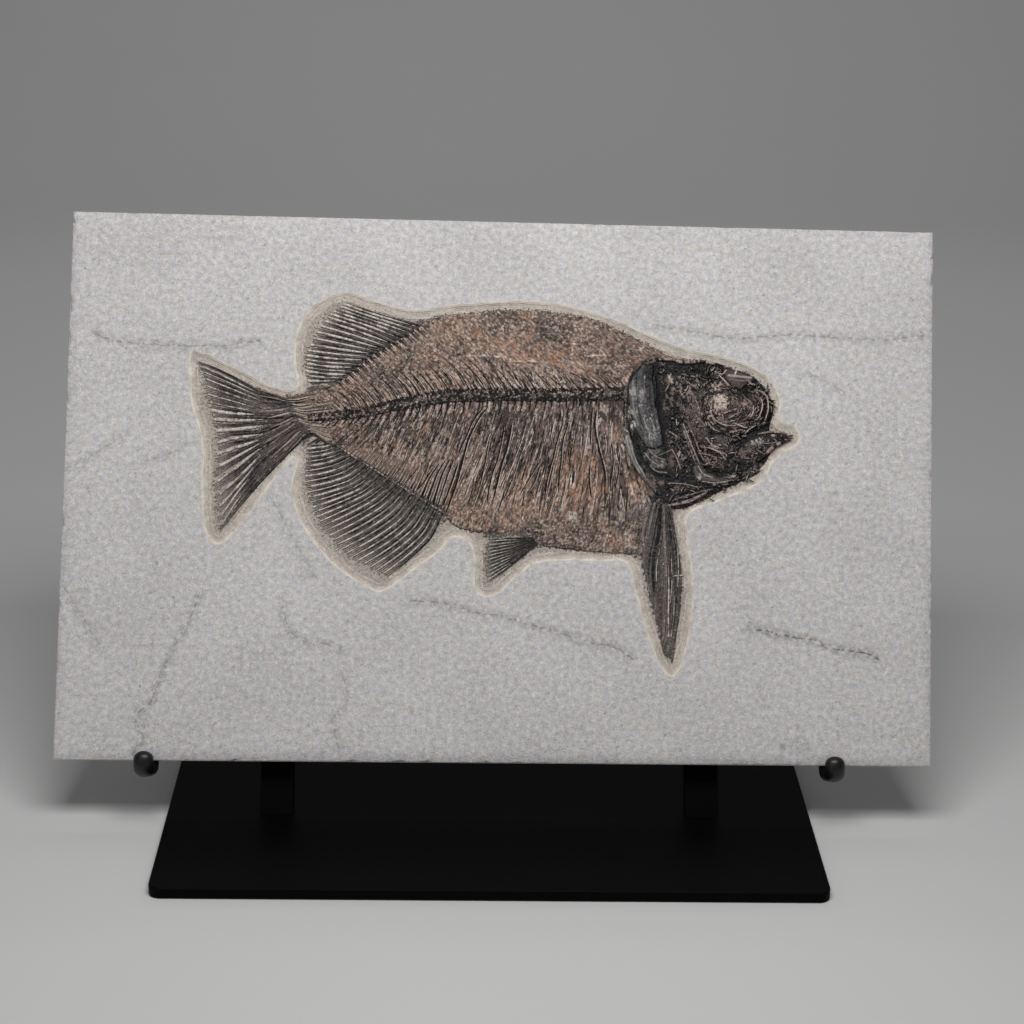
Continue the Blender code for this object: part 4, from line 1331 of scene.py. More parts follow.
RIB_LINES: tuple[tuple[Line, float], ...] = (
    (dots(323.5, 270.5, 315.5, 259, 309.5, 246.5, 307, 239, 303.5, 224.5, 299.5, 209.5, 292.5, 189.5),
        0.75),
    (dots(319.5, 269, 312, 258.5, 308, 249, 304.5, 241, 301.5, 234.5), 0.6),
    (dots(301, 227, 297, 213.5, 290, 194), 0.7), (dots(297.5, 229, 292, 213.5, 285.5, 193), 0.6),
    (dots(294.5, 229, 288.5, 216, 282.5, 194), 0.7), (dots(291, 228, 284.5, 216, 278, 196), 0.6),
    (dots(286.5, 225.5, 279, 213.5, 274.5, 200.5), 0.6), (dots(282, 222.5, 273.5, 209, 266, 202), 0.6),
    (dots(272, 224, 264, 214, 258, 207), 0.5), (dots(262, 228, 254, 218, 249, 211), 0.45),
    (dots(341.5, 258, 340, 247, 337.5, 236, 333.5, 223, 329, 203, 326.5, 197.5), 0.7),
    (dots(335.5, 254.5, 334, 243.5, 331, 229.5, 327.5, 219.5, 324.5, 205.5, 323.5, 197.5), 0.6),
    (dots(326.5, 250, 324, 242.5, 322, 229.5, 318, 210, 315, 200), 0.45),
    (dots(352.5, 244, 347, 229.5, 343, 216.5, 335.5, 198), 0.45),
    (dots(364, 229.5, 355, 214.5, 348.5, 203.5), 0.5), (dots(363.5, 225.5, 359, 212, 354, 204.5), 0.5),
    (dots(381.5, 260.5, 376.5, 245, 373, 230, 369, 214.5, 367, 200.5), 0.55),
    (dots(385, 258.5, 380.5, 244, 379.5, 230, 378, 217, 377.5, 205), 0.55),
    (dots(401.5, 227, 401, 215, 402.5, 201.5), 0.5),
    (dots(406, 268.5, 405, 255.5, 408, 239, 412.5, 221.5, 413.5, 210.5), 0.75),
    (dots(403, 269.5, 402, 256.5, 401.5, 242), 0.55), (dots(389.5, 221.5, 388.5, 212.5), 0.7),
    (dots(424, 236, 423, 220, 420, 206), 0.45), (dots(418, 244, 419, 228, 417, 212), 0.45),
)

FLANK_MARKS = (
    Spot(352, 314, 26, 13, -8, 0, RUST, 0.65, 0.45, 6), Spot(385, 304, 20, 8, -15, 0, RUST, 0.6, 0.45, 5),
    Spot(300, 326, 22, 9, 15, 0, RUST, 0.35, 0.45, 6), Spot(395, 218, 20, 30, 8, 0, RUST, 0.75, 0.45, 5),
    Spot(352, 190, 28, 10, 4, 0, RUST, 0.4, 0.45, 6), Spot(272, 252, 14, 8, 10, 0, RUST, 0.3, 0.45, 5),
    Spot(442, 307, 9, 6, -20, 0, RUST, 0.7, 0.6, 3), Spot(420, 250, 8, 9, 0, 0, RUST, 0.5, 0.45, 4),
    Spot(340, 260, 22, 8, -4, -0.2, CHARCOAL, 0.75, 0.7, 4),
    Spot(326, 266, 10, 4, 10, -0.2, CHARCOAL, 0.6, 0.8, 3),
    Spot(368, 270, 20, 5, 0, -0.1, DUSK, 0.7, 0.8, 3), Spot(364, 248, 4, 9, 8, -0.25, DUSK, 1, 0.25, 3),
    Spot(434, 190, 9, 9, 0, 0, SLATE, 0.6, 0.2, 5), Spot(388, 187, 4.5, 3.5, 0, 0.3, GLINT, 0.6, 0.5, 2),
    Spot(388, 213, 2.2, 6, 0, 0.3, GLINT, 0.5, 0.5, 2),
    Spot(414, 270, 20, 10, 0, 0, CHARCOAL, 0.55, 0.9, 4), Spot(428, 318, 24, 11, -25, 0, DUSK, 0.4, 0.8, 3),
    Spot(400, 290, 26, 7, 0, 0, DUSK, 0.6, 0.8, 5), Spot(322, 333, 7, 6, -50, -0.2, DUSK, 0.4, 0.6, 2),
    Spot(300, 230, 26, 22, 60, 0, OLIVE, 0.4, 0.8, 6), Spot(215, 266, 8, 2.2, 12, -0.2, BLACK, 0.8, 0.5, 3),
    Spot(190, 259, 14, 3, 14, -0.1, CHARCOAL, 0.8, 0.9, 2),
    Spot(176, 255, 8, 5, 0, 0.2, SLATE, 0.8, 0.9, 1.6),
    Spot(173, 257.5, 2.6, 1.6, 0, 0.3, GLINT, 0.8, 0.8, 1),
    Spot(179, 252.5, 2.4, 1.3, 30, 0.3, GLINT, 0.7, 0.8, 1),
    Stroke(dots(307, 309, 320, 309, 338, 308.5), 0.45, 0.3, BUFF, 0.8, 0.9),
    Stroke(dots(340, 305.5, 355, 305.5, 361, 305), 0.55, 0.3, PALE, 0.6, 0.9),
    Stroke(dots(340, 304.2, 355, 304.2, 361, 303.8), 0.4, -0.3, BLACK, 0.7, 0.6),
    Stroke(dots(377, 306, 394, 302.5, 413, 302.5), 0.45, 0.3, ASH, 0.7, 0.9),
    Stroke(dots(399, 310, 415, 311), 0.4, 0.3, BUFF, 0.8, 0.8),
    Stroke(dots(427, 286, 429, 275, 428, 262, 431, 252), 1.6, -0.5, BLACK, 0.8, 0.8),
    Stroke(dots(461, 205, 452, 206, 446, 214), 1.6, -0.4, BLACK, 0.7, 0.8),
)


@dataclass
class Flank:
    """Side of the body: a scaly film with ribs and neural spines lying in it."""

    plane: FacePlane
    length: float = 285.0
    height: float = 170.0
    vertebrae: int = 44
    seat: float = -1.5
    grain: Grain = field(default_factory=lambda: Grain(23))

    def skin(self, name: str, low: float, high: float, columns: int, rows: int,
             finish: bpy.types.Material) -> None:
        """Make one sheet of the film.

        Args:
            name: name of the piece.
            low: share of the way up at its lower edge.
            high: share of the way up at its upper edge.
            columns: faces along it.
            rows: faces up it.
            finish: its material.
        """
        a, b = np.meshgrid(np.linspace(-0.012, 1.02, columns + 1), np.linspace(low, high, rows + 1),
            indexing="ij")
        uv = FLANK.at(a, b)
        wave = np.stack([self.grain.cloud(uv[..., 0], uv[..., 1], 5.0),
            self.grain.cloud(uv[..., 1] + 90.0, uv[..., 0], 5.0)], axis=-1)
        uv = uv + 1.8 * (wave - 0.5)
        relief = Relief(uv)
        self.texture(relief, a.ravel(), b.ravel())
        for mark in FLANK_MARKS:
            mark.draw(relief, self.grain)
        spine = np.abs(b.ravel() - 0.58)
        relief.height -= 0.8 * rise(spine, 0.095, 0.07)
        outer = np.minimum(b.ravel(), 1.0 - b.ravel())
        relief.height -= 0.9 * rise(outer, 0.012, 0.0)
        relief.height -= 1.4 * rise(a.ravel(), 1.0, 1.01) + 0.6 * rise(a.ravel(), 0.0, -0.012)
        settle(relief_sheet(name, relief, self.seat, self.plane), ("flank",), "flank_bone", finish)

    def texture(self, relief: Relief, a: Array, b: Array) -> None:
        """Lay scales and streaks that run with the ribs.

        Args:
            relief: relief of the sheet.
            a: share of the way along the body at each place.
            b: share of the way up it.
        """
        u, v = relief.uv.T
        x = a * self.length
        y = b * self.height
        streak = self.grain.cloud(x, y * 0.13, 1.4)
        other = self.grain.cloud(x + 50.0, y * 0.2, 1.3)
        crack, piece = self.grain.cells(u, v, 2.0)
        _, fine = self.grain.cells(v, u, 1.2)
        scaly = np.clip(rise(b, 0.70, 0.80) + rise(b, 0.16, 0.08) + rise(a, 0.22, 0.1), 0, 1)
        relief.height[:] = 0.15 + 0.35 * np.sin(np.pi * np.clip(b, 0.0, 1.0))
        relief.height += (1 - scaly) * 1.1 * (streak - 0.5) + (0.15 + 0.3 * scaly) * (piece - 0.5)
        relief.height -= 0.25 * np.exp(-(crack / 0.25) ** 2) - 0.3 * (fine - 0.5)
        dark = (1 - scaly) * (rise(streak, 0.54, 0.62) * 0.55 + 0.3 * (piece > 0.8))
        dark += scaly * (0.4 * (piece > 0.78) * rise(crack, 0.0, 0.3) + 0.48
            * np.exp(-(crack / 0.3) ** 2))
        light = (1 - scaly) * rise(other, 0.60, 0.68) * 0.55 * (fine > 0.3)
        light += scaly * 0.32 * (fine > 0.83)
        broad = self.grain.cloud(u, v, 11.0)
        mid = rise(b, 0.2, 0.3) * rise(b, 0.72, 0.62) * rise(a, 0.12, 0.25)
        relief.tint[:, 0] = np.clip(dark * (1 - light) + 0.14 * rise(broad, 0.5, 0.7) + 0.18 * mid, 0, 1)
        relief.tint[:, 1] = light
        stalk = rise(a, 0.16, 0.02)
        dusk = rise(self.grain.cloud(u + 37.0, v + 0.5 * u, 13.0), 0.5, 0.66)
        relief.tint[:, 0] += 0.14 * dusk
        relief.tint[:, 0] += 0.3 * stalk
        relief.tint[:, 2] = (0.65 * rise(broad, 0.6, 0.36) * (1 - 0.6 * mid)) * (1 - stalk)
        relief.tint[:, 3] = np.maximum(0.3 * mid, 0.4 * stalk) + 0.25 * dusk

    def sweep(self, start: Array, first: float, last: float, size: float,
              count: int) -> Array:
        """Line that leaves a point and bends evenly.

        Args:
            start: where it leaves, in mm.
            first: its direction there, in degrees.
            last: its direction at the end.
            size: its length in mm.
            count: number of points.

        Returns:
            The points.
        """
        t = shares(count)
        turn = np.radians(first + (last - first) * t ** 0.8)
        steps = np.column_stack([np.cos(turn), np.sin(turn)]) * size / count
        return start + np.cumsum(steps, axis=0)

    def neural_spines(self, bundle: StrandBundle) -> None:
        """Add the spines that sweep back from the top of the backbone."""
        draw = np.random.default_rng(5).random
        kinds = ((0.0, 1.0, 0.58, BLACK, 0.9), (0.2, 0.55, 0.36, GLINT, 0.75),
            (0.4, 0.75, 0.42, BLACK, 0.75), (0.6, 0.5, 0.4, ASH, 0.6), (0.78, 0.6, 0.42, BLACK, 0.8))
        for k in range(1, self.vertebrae):
            for shift, reach, half, shade, strength in kinds:
                if draw() < 0.12:
                    continue
                a = (k + shift + 0.2 * draw()) / self.vertebrae
                root = (3.75 + 0.4 * draw()) / 6.0
                start = FLANK.point(a, root)
                size = float(np.interp(a, (0, 0.2, 0.45, 0.62, 0.75, 1.0), (14, 28, 42, 34, 24, 20)))
                size *= reach * (0.65 + 0.55 * draw())
                first = float(np.interp(a, (0.0, 0.3, 0.7, 1.0), (138, 112, 118, 128)))
                last = float(np.interp(a, (0.0, 0.3, 0.7, 1.0), (155, 148, 142, 160)))
                tangle = 10.0 + 14.0 * rise(a, 0.62, 0.75)
                first += tangle * (draw() - 0.5)
                last += tangle * (draw() - 0.5)
                line = self.sweep(start, first, last, size, 15)
                t = shares(15)
                thin = np.sqrt(np.clip(1.0 - t, 0.02, 1.0))
                faint = 0.5 if a < 0.12 else 1.0
                fade = np.outer(strength * faint * (1.0 - 0.8 * rise(t, 0.5, 1.0)), shade.value)
                bundle.add(line, half * (0.5 + 0.5 * thin), 0.35 - 0.25 * t, 0.6 * thin, fade)
            a = (k + 0.4 + 0.2 * draw()) / self.vertebrae
            start = FLANK.point(a, 3.92 / 6.0)
            line = self.sweep(start, 100.0 + 30.0 * draw(), 125.0, 2.6 + 2.0 * draw(), 6)
            block = np.array(BUFF.value) * (0.15 + 0.7 * draw())
            bundle.add(line, (0.6, 1.2, 1.3, 1.2, 1.0, 0.5), 0.2, 0.4, block)

    def haemal_blocks(self, bundle: StrandBundle) -> None:
        """Add the short blocks and dark partings that hang from the backbone."""
        draw = np.random.default_rng(17).random
        for k in range(1, self.vertebrae - 3):
            a = (k + 0.3 * draw()) / self.vertebrae
            lean = float(np.interp(a, (0.0, 0.15, 0.35, 0.6, 1.0), (-150, -128, -112, -98, -95)))
            lean += 8.0 * (draw() - 0.5)
            size = float(np.interp(a, (0.0, 0.1, 0.3, 0.7, 0.9), (5.0, 8.0, 10.0, 9.0, 6.0)))
            top = FLANK.point(a, 3.25 / 6.0)
            line = self.sweep(top, lean + 8.0, lean - 6.0, size * (0.9 + 0.8 * draw()), 12)
            bundle.add(line, np.interp(np.linspace(0, 1, 12), (0, 0.2, 1), (0.4, 0.7, 0.3)), 0.4, 0.5,
                BLACK.value)
            middle = FLANK.point(a + 0.5 / self.vertebrae, 2.94 / 6.0)
            line = self.sweep(middle, lean + 4.0, lean - 4.0, size * (0.6 + 0.4 * draw()), 9)
            shade = BUFF if draw() < 0.6 else ASH
            fade = np.array(shade.value) * (0.15 + 0.6 * draw())
            if a < 0.7:
                bundle.add(line, np.interp(np.linspace(0, 1, 9), (0, 0.2, 0.8, 1), (0.7, 1.6, 1.2, 0.4)),
                    0.1, 0.35, fade)
            if a < 0.62:
                line = self.sweep(line[-1] + (0.8 * draw(), -1.0), lean - 6.0, lean - 16.0, size
                    * (2.0 + draw()), 20)
                bundle.add(line, 0.4, 0.2, 0.4, np.array(BLACK.value) * 0.8)

    def ribs(self, bundle: StrandBundle) -> None:
        """Add the ribs below the backbone, and the clear dark ones, each with a pale strand beside it that
        is a painted highlight.
        """
        draw = np.random.default_rng(8).random
        t = shares(20)
        for k in range(24, 10 * self.vertebrae - 4):
            a = (k + 0.8 * draw()) / (10.0 * self.vertebrae)
            reach = float(np.interp(a, (0.0, 0.2, 0.4, 0.6, 1.0), (0.3, 0.5, 0.75, 0.84, 0.8)))
            head = draw() * 0.75
            tail = min(head + 0.15 + 0.35 * draw(), 1.0)
            b = 2.9 / 6.0 * (1.0 - reach * (head + (tail - head) * t))
            sway = 0.003 * np.sin(3.0 * t + 6.0 * draw())
            line = FLANK.at(np.clip(a + sway, 0, 1), b)
            pick = draw()
            pick *= 0.78 if a > 0.55 else 1.0
            shade = (BLACK if pick < 0.64 else PALE if pick < 0.76 else ASH if pick < 0.88 else BUFF)
            strength = 0.6 + 0.35 * draw()
            broken = 0.5 + 0.5 * rise(self.grain.cloud(t * 40.0, t + k, 4.0), 0.35, 0.5)
            fade = np.outer(strength * broken, shade.value)
            taper = np.minimum(1.0, 6.0 * np.minimum(t + 0.05, 1.05 - t))
            half = 0.22 + 0.24 * draw() if pick < 0.64 else 0.22 + 0.14 * draw()
            half *= 1.0 + 0.35 * rise(a, 0.5, 0.65)
            bundle.add(line, half * taper, 0.3, 0.4 * taper, fade)
        for points, half in RIB_LINES:
            line = smooth_line(points, 2.0)
            t_line = shares(len(line))
            taper = np.minimum(1.0, 5.0 * np.minimum(t_line + 0.08, 1.08 - t_line))
            bundle.add(line, half * taper, 0.5, 0.55 * taper, BLACK.value)
            # The pale strand beside each clear dark rib is a painted highlight along its edge.
            side = line + (1.5 * half + 0.1, 0.3)
            broken = 0.3 + 0.7 * rise(self.grain.over(line, 4.0), 0.4, 0.55)
            fade = np.outer(0.5 * broken, PALE.value)
            bundle.add(side, 0.55 * half * taper, 0.45, 0.4 * taper, fade)

    def fin_supports(self, bundle: StrandBundle) -> None:
        """Add the short bones that carry the dorsal and anal fins inside the body."""
        draw = np.random.default_rng(13).random
        t = shares(14)
        for k in range(30):
            start = DORSAL.point(0.02 + 0.94 * k / 29.0, 0.0)
            size = 10.0 + 10.0 * draw()
            line = self.sweep(start + (0.4, -0.8), -50.0 + 8.0 * draw(), -42.0, size, 14)
            shade = BLACK if k % 2 else BUFF
            fade = np.outer(0.9 * (1.0 - 0.8 * t), shade.value)
            bundle.add(line, 0.55 * (1.1 - t), 0.3, 0.4, fade)
        for k in range(72):
            share = 0.12 + 0.86 * k / 71.0
            start = ANAL.point(1.0 - share, 0.0)
            size = float(np.interp(share, (0.1, 0.4, 0.7, 0.95), (6, 16, 25, 36)))
            size *= 0.65 + 0.4 * draw()
            lean = float(np.interp(share, (0.1, 0.5, 1.0), (42, 52, 70)))
            line = self.sweep(start + (0.3, 0.8), lean + 5.0 * draw(), lean + 9.0, size, 14)
            shade = (BLACK, ASH, CHARCOAL, BUFF)[k % 4]
            strong = 0.5 + 0.5 * rise(share, 0.3, 0.8)
            fade = np.outer(strong * (1.0 - 0.75 * t), shade.value)
            half = 0.6 if k % 4 == 0 else 0.4
            bundle.add(line, half * (1.15 - 0.8 * t), 0.3, 0.4, fade)
        base = smooth_line(ANAL.rails[0], 1.0) + (0.2, 0.5)
        teeth = 0.55 + 0.35 * np.sin(np.arange(len(base)) * 2.1)
        worn = rise(self.grain.over(base, 3.0), 0.4, 0.6)
        bundle.add(base, teeth * (0.4 + 0.6 * worn), 0.45, 0.3, np.outer(0.15 + 0.35 * worn, PALE.value))

    def tail_stalk(self, bundle: StrandBundle) -> None:
        """Add the thin bones that run together where the body meets the tail."""
        draw = np.random.default_rng(19).random
        shades = (BLACK, ASH, BLACK, BUFF, CHARCOAL)
        for k in range(46):
            b = (k + 0.2 + 0.6 * draw()) / 46.0
            start = 0.05 + 0.10 * draw()
            if abs(b - 0.58) < 0.09:
                start = 0.02
            body = FLANK.at(np.array([start, 0.6 * start, 0.01]), np.full(3, b))
            reach = 0.1 + 0.35 * draw()
            tail = TAIL.at(np.full(3, np.clip(1.0 - b + 0.06 * (draw() - 0.5), 0.02, 0.98)),
                np.array([0.04, 0.5 * reach, reach]))
            line = smooth_line(tuple(map(tuple, np.vstack([body, tail]))), 1.5)
            t = shares(len(line))
            base = np.interp(t, (0.0, 0.35, 0.6, 1.0), (0.15, 0.45, 0.25, -0.75))
            strong = (0.5 + 0.5 * draw()) * rise(t, 0.0, 0.2) * rise(t, 1.05, 0.7)
            fade = np.outer(strong, shades[k % 5].value)
            bundle.add(line, (0.3 + 0.3 * draw()) * (0.5 + np.sin(np.pi * t)), base, 0.5, fade)

    def build(self, finishes: Finishes) -> None:
        """Make the film and the bones that lie in it."""
        self.skin("belly_skin", 0.0, 0.58, 430, 176, finishes.belly)
        self.skin("back_skin", 0.58, 1.0, 430, 104, finishes.back)
        spines = StrandBundle()
        self.neural_spines(spines)
        self.fin_supports(spines)
        self.tail_stalk(spines)
        settle(spines.piece("neural_spines", self.plane), ("flank",), "dark_bone", finishes.ribs)
        ribs = StrandBundle()
        self.haemal_blocks(ribs)
        self.ribs(ribs)
        settle(ribs.piece("ribs", self.plane), ("flank",), "dark_bone", finishes.ribs)


@dataclass
class Backbone:
    """Chain of hourglass vertebrae along the middle of the body."""

    plane: FacePlane
    vertebrae: int = 44
    seat: float = 0.1
    crown: float = 0.6
    grain: Grain = field(default_factory=lambda: Grain(31))

    def build(self, finishes: Finishes) -> None:
        """Make the chain."""
        a, b = np.meshgrid(shares(13 * self.vertebrae + 1), shares(23), indexing="ij")
        place = a * self.vertebrae
        waist = np.abs((place % 1.0) - 0.5) * 2.0
        width = 0.92 + 0.12 * waist ** 2
        uv = FLANK.at(a, (3.5 + (b - 0.5) * width) / 6.0)
        relief = Relief(uv)
        u, v = relief.uv.T
        joint = rise(waist, 0.8, 0.96).ravel()
        side = np.abs(b.ravel() - 0.5) * 2.0
        mark = self.grain.value(np.floor(place).ravel() * 3.7, side * 0.0, 1.0)
        crack, piece = self.grain.cells(u, v, 1.7)
        _, low = self.grain.cells(v, u, 1.0)
        relief.height[:] = self.seat + self.crown * (1.0 - 0.7 * side ** 3)
        relief.height += 0.3 * (waist.ravel() ** 2 - 0.5) - 0.5 * joint
        relief.height += 0.7 * (piece - 0.5) - 0.4 * np.exp(-(crack / 0.25) ** 2)
        relief.height = np.clip(relief.height, self.seat + 0.1, 1.6)
        ragged = side + 0.5 * (low - 0.5)
        dark = 0.3 * mark + 0.55 * rise(ragged, 0.45, 0.7) * (low > 0.45)
        dark += 0.15 * joint + 0.58 * (piece < 0.32) + 0.6 * np.exp(-(crack / 0.3) ** 2)
        light = (piece > 0.8) * rise(side, 0.85, 0.6) * rise(crack, 0.1, 0.25) * 0.32
        relief.tint[:, 0] = np.clip(dark * (1.0 - light), 0, 1)
        relief.tint[:, 1] = light
        relief.tint[:, 2] = 0.7 * ((piece > 0.6) & (piece < 0.7))
        relief.tint[:, 3] = 0.3
        chain = relief_sheet("vertebrae", relief, self.seat, self.plane)
        settle(chain, ("backbone",), "dark_bone", finishes.ribs)


# --- fish: head -----------------------------------------------------------------------

